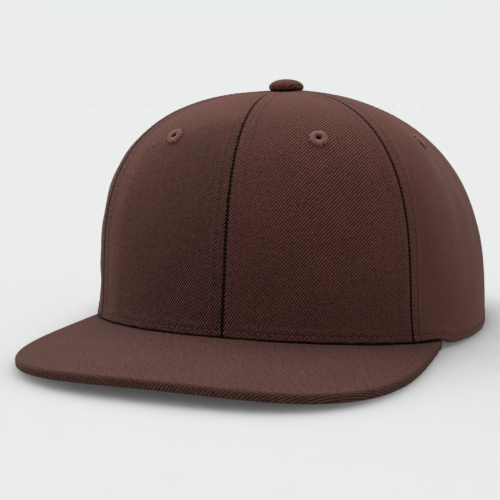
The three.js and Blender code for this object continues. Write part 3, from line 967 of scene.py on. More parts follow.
def eyelet_points(crown, stitch, angle, down, seed):
    """Points of a sewn ring: thread laid side by side from the hole over the edge. Its stitches
    are about twice as wide as real ones, so that they show."""
    steps_for_each = 8
    sides = stitch.eyelet_stitches * steps_for_each
    spin = np.linspace(0, 2 * np.pi, sides, endpoint=False)
    number = np.arange(sides) // steps_for_each
    ridge = np.abs(np.sin(stitch.eyelet_stitches * spin / 2)) ** 0.5
    draw = np.random.default_rng(seed)
    longer = draw.uniform(-0.5, 0.3, stitch.eyelet_stitches)[number] * MM * ridge
    plumper = draw.uniform(0.7, 1.15, stitch.eyelet_stitches)[number]
    hole, rim = stitch.eyelet_hole, stitch.eyelet_radius
    high = stitch.eyelet_height
    sunk = -0.55 * MM
    through = -crown.wall - 0.15 * MM
    dent_depth = 0.5 * MM

    # From the inside through the hole and over the edge: radius, height, how deep the dents
    # between stitches are, how uneven the ring's edge is, and how light the thread is painted, with
    # painted shade in the hole and round the ring's foot
    profile = [
        (hole + 0.25 * MM, through, 0.0, 0.0, 0.0),
        (hole + 0.05 * MM, 0.5 * through, 0.2, 0.0, 0.0),
        (hole, 0.1 * high, 0.3, 0.0, 0.2),
        (hole + 0.15 * MM, 0.6 * high, 0.4, 0.0, 0.7),
        (hole + 0.6 * MM, 0.9 * high, 0.5, 0.0, 1.0),
        (hole + 1.3 * MM, high, 0.5, 0.0, 1.0),
        (rim - 0.8 * MM, 0.86 * high, 0.7, 0.5, 1.0),
        (rim - 0.25 * MM, 0.6 * high, 1.0, 1.0, 1.0),
        (rim, 0.2 * high, 1.0, 1.0, 0.8),
        (rim + 0.02 * MM, sunk, 0.6, 1.0, 0.4),
        (rim - 1.4 * MM, sunk, 0.0, 0.0, 0.4),
        (hole + 0.7 * MM, through, 0.0, 0.0, 0.0),
    ]
    centre = crown_point(crown, angle, down)
    normal = crown_normal(crown, angle, down)
    outward = directions_round(normal, spin)
    rings, raised = [], []
    for radius, height, ridged, stretched, light in profile:
        dent = ridged * (1 - ridge * plumper)
        h = height - dent_depth * dent
        rings.append(centre + (radius + stretched * longer)[:, None] * outward + h[:, None] * normal)
        # Painted shade: the thread is painted darker in the dents between stitches and where the light
        # column is low
        raised.append(light * (1 - dent))
    return np.concatenate(rings), np.concatenate(raised), sides, len(profile)


class CAP_OT_eyelets(bpy.types.Operator):
    """Sew the six eyelets"""

    bl_idname = "cap.eyelets"
    bl_label = "Eyelets"

    def execute(self, context):
        scene = context.scene
        material = thread_material("eyelet thread", scene.cap_colours.eyelet, laid=True)
        for panel in PANELS:
            for side, sign in SIDES:
                angle, down = eyelet_place(panel, sign)
                seed = 70 + 2 * PANELS.index(panel) + (sign > 0)
                points, raised, sides, rings = eyelet_points(
                    scene.cap_crown, scene.cap_stitch, angle, down, seed
                )
                # raised holds the ring's painted shade, in its hole and between its stitches
                piece = new_piece(
                    f"sewn_eyelet_{panel['name']}_{side}", points, lathe_faces(sides, rings),
                    {"raised": np.column_stack([raised] * 3)},
                )
                fit(piece, material, "eyelet_thread", f"eyelet_{panel['name']}_{side}")
        return {"FINISHED"}


class CAP_OT_button(bpy.types.Operator):
    """Cover the button with cloth, drawn in round its foot"""

    bl_idname = "cap.button"
    bl_label = "Button"

    def execute(self, context):
        scene = context.scene
        crown, button = scene.cap_crown, scene.cap_button
        sides, folds, seed, unevenness = 120, 17, 5, 0.9
        angle = np.linspace(0, 360, sides, endpoint=False)
        heading = unit(np.stack(hem_point(crown, angle), -1))
        spin = np.arctan2(heading[:, 1], heading[:, 0])
        gathers = ripple(np.cos(spin), np.sin(spin), seed, unevenness) + 0.7 * np.sin(folds * spin + 1)

        def seat(radius):
            return crown_point(crown, angle, down_at_radius(crown, angle, radius))[..., 2]

        # From under the button up to its side: share of its radius, millimetres over the cloth,
        # and how much the gathers show
        foot_rows = [
            (0.5, 0.05, 0.0),
            (0.9, 0.05, 0.6),
            (0.965, 0.45, 1.0),
            (0.995, 1.0, 1.0),
            (1.0, 1.6, 0.8),
        ]
        foot_gathers, side_gathers = 0.1 * MM, 0.14 * MM
        side_level = crown.height + button.side_height
        dome = button.height - button.side_height
        rings = []
        for part, rise, gathered in foot_rows:
            radius = part * button.radius
            height = seat(radius) + rise * MM + crown.welt
            wrinkled = foot_gathers * gathered * gathers
            rings.append((radius + wrinkled, np.minimum(height, side_level)))
        for turned in np.radians([0, 7, 14, 21, 28, 35, 42, 49, 56, 63, 70, 77, 83, 87]):
            radius = button.radius * np.cos(turned) ** button.fullness
            wrinkled = side_gathers * gathers * np.cos(turned) ** 2
            rings.append((radius + wrinkled, np.full(sides, side_level + dome * np.sin(turned))))
        points = [
            np.stack([r * heading[:, 0], r * heading[:, 1] + APEX_Y, z], -1) for r, z in rings
        ]
        foot = [[0.0, APEX_Y, crown.height]]
        crest = [[0.0, APEX_Y, crown.height + button.height]]
        points = np.concatenate([*points, foot, crest])
        faces = lathe_faces(sides, len(rings), closed=False)
        faces += fan_faces(sides, len(rings), len(points) - 2, len(points) - 1)

        # The cloth is laid flat over the top, and what hangs down lies further out in it
        rib_share, nothing = 0.5, 1e-9
        spot = points[:, :2] - [0, APEX_Y]
        drop = np.maximum(0, side_level - points[:, 2])
        spot = spot + unit(spot + nothing) * drop[:, None]
        cloth = np.column_stack([spot, np.full(len(points), rib_share)])
        # Painted shade where the button meets the crown: the cloth material darkens it within about a
        # millimetre of its foot
        from_foot = np.maximum(0, points[:, 2] - crown.height + 0.45 * MM)
        beside = np.column_stack([from_foot, from_foot * 0, from_foot])
        piece = new_piece("button_cloth", points, faces, {"cloth": cloth, "beside": beside})
        fit(piece, twill_material(scene.cap_colours), "crown_twill", "button")
        return {"FINISHED"}


class CAP_OT_brim(bpy.types.Operator):
    """Cover the brim with cloth, drawn over its edge"""

    bl_idname = "cap.brim"
    bl_label = "Brim"

    def execute(self, context):
        scene = context.scene
        crown, brim = scene.cap_crown, scene.cap_brim
        end_angle, end_direction = brim_end(crown, brim)
        columns, flat_rows, edge_rows = 321, 64, 9
        side = np.linspace(-1, 1, columns)
        seat = brim_seat(crown, brim, side * end_angle, np.full(columns, crown.wall))
        inner = np.stack([seat[:, 0], seat[:, 1] - APEX_Y], -1)
        outer = np.stack(brim_outline(crown, brim, side * end_direction), -1)
        reach = np.linalg.norm(outer - inner, axis=-1)
        radius = np.minimum(brim.edge_radius, reach / 3)
        outward = unit(np.stack([np.gradient(outer[:, 1]), -np.gradient(outer[:, 0])], -1))

        # The ribs lean more on one half of the brim than on the other, because the cloth is drawn
        # over a curved edge
        table = np.linspace(-1.2, 1.2, 241) * brim.half_width
        steepest, drawn_over = 74, 26
        leaning = np.radians(steepest - drawn_over * smooth(-45 * MM, 10 * MM, table))
        step = table[1] - table[0]
        across_ribs = np.cumsum(np.sin(leaning)) * step
        along_ribs = np.cumsum(np.cos(leaning)) * step
        front = outer[:, 1].min()

        def woven(spot):
            """Place in the cloth, across its ribs and along them."""
            x, y = spot[:, 0], spot[:, 1] - front
            lean = np.interp(x, table, leaning)
            across = np.interp(x, table, across_ribs) - y * np.cos(lean)
            return np.stack([across, np.interp(x, table, along_ribs) + y * np.sin(lean)], -1)

        # Rows from the crown outwards and then over the edge: how far out, how far below the top,
        # and how far round the edge
        level_row = np.zeros(columns)
        ways = [
            (out * (reach - radius), level_row, level_row)
            for out in np.linspace(0, 1, flat_rows, endpoint=False)
        ]
        for turned in np.radians(np.linspace(0, 90, edge_rows)):
            over = radius * (1 - np.cos(turned))
            ways.append((reach - radius * (1 - np.sin(turned)), over, radius * turned))

        swell_height, swell_length, seed = 0.08 * MM, 40 * MM, 31
        half = brim.thickness / 2
        whole_edge = 2 * (radius * np.pi / 2 + half - radius)
        thinner = brim.tip_thinning * smooth(0.93, 1.0, np.abs(side))
        top, under, cloth_top, cloth_under, beside = [], [], [], [], []
        for way, drop, round_edge in ways:
            spot = inner + (outer - inner) * (way / reach)[:, None]
            swell = swell_height * ripple(spot[:, 0], spot[:, 1], seed, swell_length) * (drop == 0)
            level = brim_underside(brim, spot[:, 0])
            place = spot[:, 0], spot[:, 1] + APEX_Y
            top.append(np.stack([*place, level + brim.thickness - drop + swell], -1))
            near_edge = smooth(0.75, 1.0, way / reach)
            under.append(np.stack([*place, level + np.minimum(half, drop + thinner * near_edge)], -1))
            ribs = 0.1 + 0.55 * smooth(0.1 * MM, 1.4 * MM, round_edge)
            cloth_top.append(np.column_stack([woven(spot + outward * round_edge[:, None]), ribs]))
            below = spot + outward * (whole_edge - round_edge)[:, None]
            cloth_under.append(np.column_stack([woven(below), ribs]))
            # Painted shade on the brim where it meets the crown: the cloth material darkens it within
            # about a millimetre of the crown's face
            from_crown = np.maximum(0, way - crown.wall)
            beside.append(np.column_stack([from_crown, way * 0, way * 0 + 1]))

        def sheet(rows):
            return np.stack(rows, 1).reshape(-1, 3)

        points = np.concatenate([sheet(top), sheet(under)])
        cloth = np.concatenate([sheet(cloth_top), sheet(cloth_under)])
        beside = np.concatenate([sheet(beside), sheet(beside) * 0 + 1])
        faces = sheet_faces(columns, len(ways))
        attributes = {"cloth": cloth, "beside": beside}
        piece = new_piece("brim_cloth", points, faces, attributes)
        fit(piece, brim_material(scene.cap_colours), "brim_cloth", "brim")
        return {"FINISHED"}


def strip(crown, brim, angle, heights, outer_depth, inner_depth, follow_brim=True):
    """Outer and inner sheet of a strip that follows the inside of the crown; heights has a row
    for each angle. With follow_brim its foot goes straight down in front of the brim's seat."""
    x, y = hem_point(crown, angle)
    over_brim = brim_underside(brim, x) + brim.thickness + 0.3 * MM
    level = np.maximum(heights, np.where(y < 0, over_brim, 0)[:, None]) if follow_brim else heights
    turned = np.broadcast_to(angle[:, None], level.shape)
    sheets = []
    for depth in (outer_depth, inner_depth):
        depth = np.broadcast_to(depth, level.shape)
        points = crown_inset(crown, turned, down_at_height(crown, turned, level, depth), depth)
        points[..., 2] = heights
        sheets.append(points)
    return sheets


def eased(count):
    """Shares from 0 to 1, closer together at both ends."""
    return 0.5 - 0.5 * np.cos(np.pi * np.linspace(0, 1, count))


def angle_behind(crown, x):
    """Angle round the back of the crown at which the hem is this far from the middle."""
    return float(turning_point(np.array(90.0), 180.0, lambda a: hem_point(crown, a)[0] < x))


# Distance of the sweatband's stitches from its edges
BAND_ROW = 2.4 * MM


class CAP_OT_sweatband(bpy.types.Operator):
    """Make the sweatband, with its folded edges"""

    bl_idname = "cap.sweatband"
    bl_label = "Sweatband"

    def execute(self, context):
        scene = context.scene
        crown, brim, closure = scene.cap_crown, scene.cap_brim, scene.cap_closure
        end = angle_behind(crown, crown.arch_half_width + closure.strap_tuck + closure.band_clearance)
        columns, rows = 260, 34
        angle = np.linspace(-end, end, columns)
        low = closure.band_bottom + hem_height(brim, angle)
        heights = low[:, None] + (closure.band_top - low)[:, None] * (1 - eased(rows))[None, :]
        from_edge = np.minimum(heights - low[:, None], closure.band_top - heights)
        soft = rolled(from_edge, 0.45 * closure.band_thickness)
        along = np.radians(angle)[:, None] * crown.hem_half_width + heights * 0
        give_height, give_length, seed = 0.16 * MM, 30 * MM, 91
        give = give_height * ripple(along, heights, seed, give_length) * smooth(0, 6 * MM, from_edge)
        seam_dip = 0.22 * MM * bell(from_edge, BAND_ROW, 0.6 * MM)
        outer = crown.wall + closure.band_clearance + soft
        inner = crown.wall + closure.band_clearance + closure.band_thickness - soft + give - seam_dip
        sheets = strip(crown, brim, angle, heights, outer, inner)
        points = np.concatenate([sheet.reshape(-1, 3) for sheet in sheets])
        cloth = np.stack([along, heights, np.full(heights.shape, 0.8)], -1).reshape(-1, 3)
        attributes = {"cloth": np.tile(cloth, (2, 1)), "beside": np.tile(cloth * 0 + 1, (2, 1))}
        piece = new_piece("sweatband_cloth", points, sheet_faces(columns, rows), attributes)
        fit(piece, band_material(scene.cap_colours), "sweatband_cloth", "sweatband")

        rows_of_stitches = []
        depth = crown.wall + closure.band_clearance + closure.band_thickness
        middle = [0, APEX_Y + crown.hem_set_back, 0]
        for height in (low + BAND_ROW, low * 0 + closure.band_top - BAND_ROW):
            line = strip(crown, brim, angle, height[:, None], depth, depth)[1][:, 0]
            normals = -unit((line - middle) * [1, 1, 0])
            rows_of_stitches.append(stitch_row(line, normals, scene.cap_stitch))
        thread = thread_material("stitching thread", scene.cap_colours.thread)
        sew("sweatband_stitching", rows_of_stitches, scene.cap_stitch, thread, "sweatband_cloth")
        return {"FINISHED"}


def strap_sheets(crown, brim, closure, end, columns, rows, outside, inside, round_ends):
    """Outer and inner sheet of a plastic strap behind the crown, with softened edges and a low
    raised line along them. It runs between the same angle on both sides."""
    angle = np.linspace(end, 360 - end, columns)
    along = np.radians(angle - 180) * crown.hem_half_width
    half = closure.strap_width / 2
    from_end = np.minimum(along - along[0], along[-1] - along)
    round_off = np.clip((half - from_end) / half, 0, 1) if round_ends else 0 * angle
    least = 0.03
    tall = half * np.sqrt(np.maximum(1 - round_off**2, least**2))[:, None]
    t = eased(rows)
    heights = closure.strap_bottom + half + tall * (1 - 2 * t)
    from_edge = np.minimum(tall * 2 * t, tall * 2 * (1 - t))
    soft = rolled(from_edge, 0.42 * closure.strap_thickness)
    line = smooth(0.6 * MM, 1.0 * MM, from_edge) * smooth(1.9 * MM, 1.5 * MM, from_edge)
    outer = outside + soft - 0.18 * MM * line
    return strip(crown, brim, angle, heights, outer, inside - soft, follow_brim=False)


class CAP_OT_snap_strap(bpy.types.Operator):
    """Make the snap strap: two plastic straps, pressed together with a row of studs"""

    bl_idname = "cap.snap_strap"
    bl_label = "Snap strap"

    def execute(self, context):
        scene = context.scene
        crown, brim, closure = scene.cap_crown, scene.cap_brim, scene.cap_closure
        material = plastic_material(scene.cap_colours)
        outside = crown.wall + closure.strap_clearance
        thick = closure.strap_thickness
        rows, gap = 22, 0.05 * MM

        # Name, half its length, columns, depth of its outer and its inner face, whether its ends
        # are round, and the solid that it stands for
        half_length = crown.arch_half_width + closure.strap_tuck
        layers = [
            ("snap_strap_inner", half_length, 150, outside, outside + thick, False, ["snap_strap"]),
            ("snap_strap_outer", closure.overlap, 110, outside - thick, outside - gap, True, []),
        ]
        for name, half, columns, outer, inner, round_ends, nodes in layers:
            end = angle_behind(crown, half)
            sheets = strap_sheets(crown, brim, closure, end, columns, rows, outer, inner, round_ends)
            points = np.concatenate([sheet.reshape(-1, 3) for sheet in sheets])
            piece = new_piece(name, points, sheet_faces(columns, rows))
            fit(piece, material, "strap_plastic", *nodes)

        # Each stud stands in a raised ring: shares of its radius, and of its height
        profile = [
            (1.55, -0.5), (1.5, 0.12), (1.3, 0.2), (1.12, 0.08), (1.0, 0.05), (0.97, 0.6),
            (0.8, 0.92), (0.5, 1.0), (0.02, 1.0),
        ]
        sides = 28
        spin = np.linspace(0, 2 * np.pi, sides, endpoint=False)
        stud = closure.stud_radius
        reach = int((closure.overlap - stud) / closure.stud_pitch)
        points, faces = [], []
        for number in range(-reach, reach + 1):
            angle = angle_behind(crown, abs(number) * closure.stud_pitch)
            angle = np.array(angle if number >= 0 else 360 - angle)
            down = down_at_height(crown, angle, closure.strap_bottom + closure.strap_width / 2)
            normal = crown_normal(crown, angle, down)
            centre = crown_point(crown, angle, down) - (outside - thick) * normal
            outward = directions_round(normal, spin)
            start = sides * len(points)
            for part, height in profile:
                points.append(centre + part * stud * outward + height * closure.stud_height * normal)
            faces += [f + start for f in lathe_faces(sides, len(profile), closed=False)]
            faces.append((np.arange(sides) + start + sides * (len(profile) - 1))[None, :])
            faces.append((np.arange(sides)[::-1] + start)[None, :])
        piece = new_piece("snap_studs", np.concatenate(points), faces)
        fit(piece, material, "strap_plastic")
        return {"FINISHED"}


def add_node(tree, kind, inputs=None, **settings):
    """Adds a node with its settings, each input named or numbered being set to a value or linked
    to a socket, and gives the first of its results that is in use."""
    node = tree.nodes.new(kind)
    for key, value in settings.items():
        setattr(node, key, value)
    for key, value in (inputs or {}).items():
        if isinstance(value, bpy.types.NodeSocket):
            tree.links.new(value, node.inputs[key])
        else:
            node.inputs[key].default_value = value
    return next((socket for socket in node.outputs if socket.enabled), None)


def new_material(name):
    """A material with an empty tree, or the one that is there already and no tree."""
    if name in bpy.data.materials:
        return bpy.data.materials[name], None
    material = bpy.data.materials.new(name)
    material.use_nodes = True
    material.node_tree.nodes.clear()
    return material, material.node_tree


def cloth_height(tree, flat, strength, weave):
    """Height of the yarn, about 0 to 1: diagonal ribs of short floats where strength is 1, and
    pressed yarn without ribs where it is 0."""
    pitch, heading = weave["pitch"], math.radians(weave["heading"])

    # Yarn is never even, so the ribs drift a little to and fro
    drift_size = 8.3 * MM
    drift = add_node(
        tree, "ShaderNodeTexNoise", {"Vector": flat, "Scale": 1 / drift_size, "Detail": 2.0}
    )
    across = (math.sin(heading) / pitch, -math.cos(heading) / pitch, 0)
    ribs = add_node(
        tree, "ShaderNodeVectorMath", {0: flat, 1: across}, operation="DOT_PRODUCT"
    ).node.outputs["Value"]
    ribs = add_node(tree, "ShaderNodeMath", {0: drift, 1: 0.4, 2: ribs}, operation="MULTIPLY_ADD")
    turns = add_node(tree, "ShaderNodeMath", {0: ribs, 1: 2 * math.pi}, operation="MULTIPLY")
    wave = add_node(tree, "ShaderNodeMath", {0: turns}, operation="SINE")
    wave = add_node(tree, "ShaderNodeMath", {0: wave, 1: 0.5, 2: 0.5}, operation="MULTIPLY_ADD")
    wave = add_node(tree, "ShaderNodeMath", {0: wave, 1: weave["sharpness"]}, operation="POWER")

    # Each rib is made of short floats of thread that lie nearly along it
    laid = add_node(
        tree, "ShaderNodeVectorRotate", {"Vector": flat, "Angle": -heading}, rotation_type="Z_AXIS"
    )
    laid = add_node(
        tree, "ShaderNodeVectorMath", {0: laid, 1: (0.5 / pitch, 1.8 / pitch, 0)}, operation="MULTIPLY"
    )
    floats = add_node(tree, "ShaderNodeTexNoise", {"Vector": laid, "Scale": 1.0, "Detail": 2.0})
    plump = add_node(tree, "ShaderNodeMapRange", {
        "Value": floats, "From Min": 0.32, "From Max": 0.68, "To Min": 0.45, "To Max": 1.5,
    })
    ribbed = add_node(tree, "ShaderNodeMath", {0: wave, 1: plump}, operation="MULTIPLY")

    # Slubs: places where the warp yarn is spun thicker or thinner
    wide, long = weave["slub_size"]
    slubs = add_node(
        tree, "ShaderNodeVectorRotate", {"Vector": flat, "Angle": -math.radians(weave["warp"])},
        rotation_type="Z_AXIS",
    )
    slubs = add_node(
        tree, "ShaderNodeVectorMath", {0: slubs, 1: (1 / wide, 1 / long, 0)}, operation="MULTIPLY"
    )
    slubs = add_node(tree, "ShaderNodeTexNoise", {"Vector": slubs, "Scale": 1.0, "Detail": 2.0})
    uneven = add_node(
        tree, "ShaderNodeMix", {"Factor": weave["slub_share"], "A": floats, "B": slubs},
        data_type="FLOAT",
    )
    low, high = weave["pressed"]
    reach = 0.5 / weave["slub_boldness"]
    pressed = add_node(tree, "ShaderNodeMapRange", {
        "Value": uneven, "From Min": 0.5 - reach, "From Max": 0.5 + reach,
        "To Min": low, "To Max": high,
    }, clamp=False)
    return add_node(
        tree, "ShaderNodeMix", {"Factor": strength, "A": pressed, "B": ribbed},
        data_type="FLOAT", clamp_factor=False,
    )


def cloth_material(name, rib, valley, weave):
    """Woven cotton: matte, with painted shade in its valleys and seams, and a faint glow where it
    turns from the eye.
    """
    material, tree = new_material(name)
    if tree is None:
        return material
    cloth = add_node(tree, "ShaderNodeAttribute", attribute_name="cloth").node.outputs["Vector"]
    cloth = add_node(tree, "ShaderNodeSeparateXYZ", {0: cloth}).node.outputs
    flat = add_node(tree, "ShaderNodeCombineXYZ", {0: cloth[0], 1: cloth[1]})
    height = cloth_height(tree, flat, cloth[2], weave)
    # Painted shade: the valleys between the ribs take the dark valley colour
    tone = add_node(
        tree, "ShaderNodeMix", {"Factor": height, "A": (*valley, 1), "B": (*rib, 1)}, data_type="RGBA"
    )

    # The cloth is not dyed quite evenly
    cloud_size = 26.3 * MM
    shade = add_node(
        tree, "ShaderNodeTexNoise", {"Vector": flat, "Scale": 1 / cloud_size, "Detail": 3.0}
    )
    shade = add_node(tree, "ShaderNodeMapRange", {
        "Value": shade, "From Min": 0.3, "From Max": 0.7, "To Min": 0.93, "To Max": 1.07,
    })

    # Painted shade in the seams, in the crease over the brim and where the brim and the button meet
    # the crown: the cloth is darkened there, and the dark edge is pulled in at each stitch
    beside = add_node(tree, "ShaderNodeAttribute", attribute_name="beside").node.outputs["Vector"]
    beside = add_node(tree, "ShaderNodeSeparateXYZ", {0: beside}).node.outputs
    stitches = add_node(
        tree, "ShaderNodeMath", {0: beside[1], 1: 2 * math.pi / SEAM_TEETH}, operation="MULTIPLY"
    )
    stitches = add_node(tree, "ShaderNodeMath", {0: stitches}, operation="SINE")
    pull, darkest_painted_shade = 0.22 * MM, 0.06
    for distance, near, far in ((beside[0], 0.3 * MM, 0.8 * MM), (beside[2], 0.4 * MM, 1.1 * MM)):
        pulled = add_node(
            tree, "ShaderNodeMath", {0: stitches, 1: pull, 2: distance}, operation="MULTIPLY_ADD"
        )
        depth = add_node(tree, "ShaderNodeMapRange", {
            "Value": pulled, "From Min": near, "From Max": far, "To Min": darkest_painted_shade, "To Max": 1.0,
        }, interpolation_type="SMOOTHSTEP")
        shade = add_node(tree, "ShaderNodeMath", {0: shade, 1: depth}, operation="MULTIPLY")
    tone = add_node(
        tree, "ShaderNodeMix", {"Factor": 1.0, "A": tone, "B": shade},
        data_type="RGBA", blend_type="MULTIPLY",
    )
    bump = add_node(tree, "ShaderNodeBump", {"Height": height, "Distance": weave["depth"]})
    shader = add_node(tree, "ShaderNodeBsdfPrincipled", {
        "Base Color": tone, "Roughness": 0.9, "Normal": bump, "Specular IOR Level": 0.12,
        "Sheen Weight": weave["sheen"], "Sheen Roughness": 0.5, "Sheen Tint": (0.8, 0.52, 0.45, 1),
    })
    add_node(tree, "ShaderNodeOutputMaterial", {"Surface": shader})
    return material


# Weaves. pitch is the distance between ribs, heading their angle in degrees from the cloth's
# width, warp the angle between the cloth's length and its warp yarn, depth how far the valleys lie
# below the ribs, and sharpness how narrow the ribs are. pressed is the height of cloth without
# ribs, at its lowest and highest. slub_size is the width and length of the slubs in it, slub_share
# how much they count beside the floats, and slub_boldness how far they stand out. Real twill has
# ribs about 0.5 mm apart and slubs narrower than 0.5 mm, too fine to show, so the ribs are drawn
# about 0.9 to 1.3 mm apart and most slubs nearly 1 mm wide.
TWILL = {
    "pitch": 1.1 * MM, "heading": 53, "warp": 0, "depth": 0.2 * MM, "sharpness": 1.5,
    "pressed": (0.02, 0.8), "slub_size": (0.7 * MM, 0.9 * MM), "slub_share": 0.6,
    "slub_boldness": 1.5, "sheen": 0.1,
}
BRIM_TWILL = {
    "pitch": 1.05 * MM, "heading": 90, "warp": 30, "depth": 0.14 * MM, "sharpness": 1.2,
    "pressed": (0.04, 0.86), "slub_size": (0.45 * MM, 1.9 * MM), "slub_share": 0.7,
    "slub_boldness": 2.5, "sheen": 0.03,
}
BAND_TAPE = {
    "pitch": 1.3 * MM, "heading": 0, "warp": 0, "depth": 0.1 * MM, "sharpness": 1.2,
    "pressed": (0.1, 0.9), "slub_size": (0.9 * MM, 0.9 * MM), "slub_share": 0.6,
    "slub_boldness": 1.6, "sheen": 0.1,
}


def twill_material(colours):
    """Brushed cotton twill: steep diagonal ribs with painted shade in their valleys, dull and slightly
    fuzzy.
    """
    return cloth_material("brushed cotton twill", colours.twill_rib, colours.twill_valley, TWILL)


def brim_material(colours):
    """The same twill drawn tight over a board, so that its ribs show only over the edge."""
    return cloth_material("tight cotton twill", colours.brim_rib, colours.brim_valley, BRIM_TWILL)


def band_material(colours):
    """Plain cotton tape: a flat even weave, darker than the crown."""
    return cloth_material("plain cotton tape", colours.band_rib, colours.band_valley, BAND_TAPE)


def thread_material(name, thread, laid=False):
    """Spun polyester thread: a little smoother than the cloth, with a soft shine. Its bundles of
    fibre are drawn about 1 mm long, because single fibres would be too fine to show. laid is for
    thread laid side by side, with painted shade between one thread and the next."""
    material, tree = new_material(name)
    if tree is None:
        return material
    fibre_size = 1.1 * MM
    place = add_node(tree, "ShaderNodeTexCoord").node.outputs["Object"]
    fibre = add_node(
        tree, "ShaderNodeTexNoise", {"Vector": place, "Scale": 1 / fibre_size, "Detail": 2.0}
    )
    lit = fibre
    if laid:
        raised = add_node(tree, "ShaderNodeAttribute", attribute_name="raised").node.outputs["Fac"]
        lit = add_node(tree, "ShaderNodeMath", {0: fibre, 1: 0.5}, operation="ADD")
        lit = add_node(tree, "ShaderNodeMath", {0: lit, 1: raised}, operation="MULTIPLY")
    # Laid thread gets painted shade, down to 0.08 of its colour; other thread only varies at random
    # along its fibres
    between = 0.08 if laid else 0.72
    dark = tuple(between * c for c in thread)
    tone = add_node(
        tree, "ShaderNodeMix", {"Factor": lit, "A": (*dark, 1), "B": (*thread, 1)}, data_type="RGBA"
    )
    bump = add_node(tree, "ShaderNodeBump", {"Height": fibre, "Strength": 0.6, "Distance": 0.08 * MM})
    shader = add_node(tree, "ShaderNodeBsdfPrincipled", {
        "Base Color": tone, "Roughness": 0.66, "Normal": bump, "Specular IOR Level": 0.2,
        "Sheen Weight": 0.04, "Sheen Roughness": 0.4,
    })
    add_node(tree, "ShaderNodeOutputMaterial", {"Surface": shader})
    return material


def plastic_material(colours):
    """Moulded polyethylene: satin, with the faint waviness of a mould."""
    material, tree = new_material("moulded polyethylene")
    if tree is None:
        return material
    ripple_size = 2.4 * MM
    place = add_node(tree, "ShaderNodeTexCoord").node.outputs["Object"]
    mould = add_node(
        tree, "ShaderNodeTexNoise", {"Vector": place, "Scale": 1 / ripple_size, "Detail": 3.0}
    )
    rough = add_node(tree, "ShaderNodeMapRange", {"Value": mould, "To Min": 0.36, "To Max": 0.5})
    dark = tuple(0.88 * c for c in colours.plastic)
    tone = add_node(
        tree, "ShaderNodeMix", {"Factor": mould, "A": (*dark, 1), "B": (*colours.plastic, 1)},
        data_type="RGBA",
    )
    bump = add_node(tree, "ShaderNodeBump", {"Height": mould, "Strength": 0.25, "Distance": 0.05 * MM})
    shader = add_node(tree, "ShaderNodeBsdfPrincipled", {
        "Base Color": tone, "Roughness": rough, "Normal": bump, "IOR": 1.51,
    })
    add_node(tree, "ShaderNodeOutputMaterial", {"Surface": shader})
    return material


def floor_material(colours):
    """Frosted acrylic lit from below, as on a light table. Light also spreads sideways in it,
    and both soften the shadows."""
    material, tree = new_material("frosted acrylic")
    if tree is None:
        return material
    shader = add_node(tree, "ShaderNodeBsdfPrincipled", {
        "Base Color": (*colours.floor, 1), "Roughness": 0.95, "Specular IOR Level": 0.0,
        "Subsurface Weight": 1.0, "Subsurface Radius": (1, 1, 1), "Subsurface Scale": 24 * MM,
        "Emission Color": (*colours.floor, 1), "Emission Strength": 0.11,
    }, subsurface_method="BURLEY")
    add_node(tree, "ShaderNodeOutputMaterial", {"Surface": shader})
    return material


# Soft distant lights. azimuth is the bearing that one comes from, with 0 in front and 90 on the
# wearer's left, elevation its height, and spread its width, all in degrees.
LIGHTS = [
    {"name": "overhead softbox", "azimuth": 222, "elevation": 79, "spread": 70, "strength": 3.6},
    {"name": "left softbox", "azimuth": -112, "elevation": 34, "spread": 60, "strength": 1.0},
    {"name": "right softbox", "azimuth": 120, "elevation": 28, "spread": 60, "strength": 0.22},
]

# Half the width of the floor in metres, and how far the camera sees. The floor runs on beyond
# that, so its far edge never shows.
FLOOR_REACH = 30.0
SIGHT = 25.0


def towards(azimuth, elevation):
    """Direction from the middle towards that bearing and height, in radians."""
    level = math.cos(elevation)
    return Vector((math.sin(azimuth) * level, -math.cos(azimuth) * level, math.sin(elevation)))


def add_light(row):
    """Adds one of the lights."""
    light = bpy.data.lights.new(row["name"], "SUN")
    light.energy = row["strength"]
    light.angle = math.radians(row["spread"])
    lamp = bpy.data.objects.new(row["name"], light)
    bpy.context.scene.collection.objects.link(lamp)
    back = towards(math.radians(row["azimuth"]), math.radians(row["elevation"]))
    lamp.rotation_mode = "QUATERNION"
    lamp.rotation_quaternion = back.to_track_quat("Z", "Y")


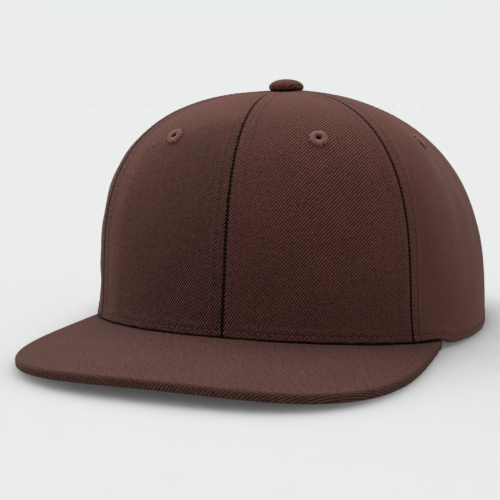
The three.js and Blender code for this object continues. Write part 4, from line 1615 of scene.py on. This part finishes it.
class CAP_OT_stage(bpy.types.Operator):
    """Set the floor, the light and the camera"""

    bl_idname = "cap.stage"
    bl_label = "Floor, light and camera"

    def execute(self, context):
        scene = context.scene
        colours, camera = scene.cap_colours, scene.cap_camera
        points = np.array([[-1, -1, 0], [1, -1, 0], [1, 1, 0], [-1, 1, 0]]) * FLOOR_REACH
        floor = new_piece("floor", points, [np.array([[0, 1, 2, 3]])])
        floor.data.materials.append(floor_material(colours))

        world = bpy.data.worlds.new("studio")
        scene.world = world
        world.use_nodes = True
        tree = world.node_tree
        tree.nodes.clear()
        seen = add_node(tree, "ShaderNodeBackground", {"Color": (*colours.backdrop, 1)})
        light = add_node(
            tree, "ShaderNodeBackground", {"Color": (1, 0.995, 0.99, 1), "Strength": 0.27}
        )
        # The eye sees an evenly lit backdrop, which is brighter than the light it gives
        path = add_node(tree, "ShaderNodeLightPath").node.outputs["Is Camera Ray"]
        mix = add_node(tree, "ShaderNodeMixShader", {0: path, 1: light, 2: seen})
        add_node(tree, "ShaderNodeOutputWorld", {"Surface": mix})

        for row in LIGHTS:
            add_light(row)

        lens = bpy.data.cameras.new("camera")
        lens.sensor_width = 36
        lens.lens = camera.focal / MM
        lens.clip_start = 0.01
        lens.clip_end = SIGHT
        viewer = bpy.data.objects.new("camera", lens)
        scene.collection.objects.link(viewer)
        back = towards(camera.azimuth, camera.elevation)
        viewer.location = Vector((0, APEX_Y, camera.middle_height)) + camera.distance * back
        pitch = math.pi / 2 - camera.elevation - camera.tilt
        viewer.rotation_euler = (pitch, 0, camera.azimuth + camera.pan)
        scene.camera = viewer
        scene.view_settings.view_transform = "Standard"
        return {"FINISHED"}


SETTINGS = [
    ("cap_crown", "Crown", CapCrownSettings),
    ("cap_stitch", "Stitching and eyelets", CapStitchSettings),
    ("cap_brim", "Brim", CapBrimSettings),
    ("cap_button", "Button", CapButtonSettings),
    ("cap_closure", "Sweatband and strap", CapClosureSettings),
    ("cap_colours", "Colours", CapColourSettings),
    ("cap_camera", "Camera", CapCameraSettings),
]
OPERATORS = [
    CAP_OT_crown_cloth,
    CAP_OT_topstitching,
    CAP_OT_eyelets,
    CAP_OT_button,
    CAP_OT_brim,
    CAP_OT_sweatband,
    CAP_OT_snap_strap,
    CAP_OT_stage,
]


class CAP_PT_cap(bpy.types.Panel):
    """Lists the pieces of the cap and their sizes"""

    bl_label = "Snapback cap"
    bl_idname = "CAP_PT_cap"
    bl_space_type = "VIEW_3D"
    bl_region_type = "UI"
    bl_category = "Cap"

    def draw(self, context):
        for operator in OPERATORS:
            self.layout.operator(operator.bl_idname)
        for name, label, group in SETTINGS:
            box = self.layout.box()
            box.label(text=label)
            for field in group.__annotations__:
                box.prop(getattr(context.scene, name), field)


def register():
    """Adds the sizes, the operators and the panel to Blender."""
    for name, _, group in SETTINGS:
        bpy.utils.register_class(group)
        setattr(bpy.types.Scene, name, bpy.props.PointerProperty(type=group))
    for item in [*OPERATORS, CAP_PT_cap]:
        bpy.utils.register_class(item)


def unregister():
    """Takes them out again."""
    for item in [CAP_PT_cap, *reversed(OPERATORS)]:
        bpy.utils.unregister_class(item)
    for name, _, group in reversed(SETTINGS):
        delattr(bpy.types.Scene, name)
        bpy.utils.unregister_class(group)


def main():
    """Builds the cap and its stage."""
    register()
    bpy.ops.cap.crown_cloth()
    bpy.ops.cap.topstitching()
    bpy.ops.cap.eyelets()
    bpy.ops.cap.button()
    bpy.ops.cap.brim()
    bpy.ops.cap.sweatband()
    bpy.ops.cap.snap_strap()
    bpy.ops.cap.stage()


if __name__ == "__main__":
    main()
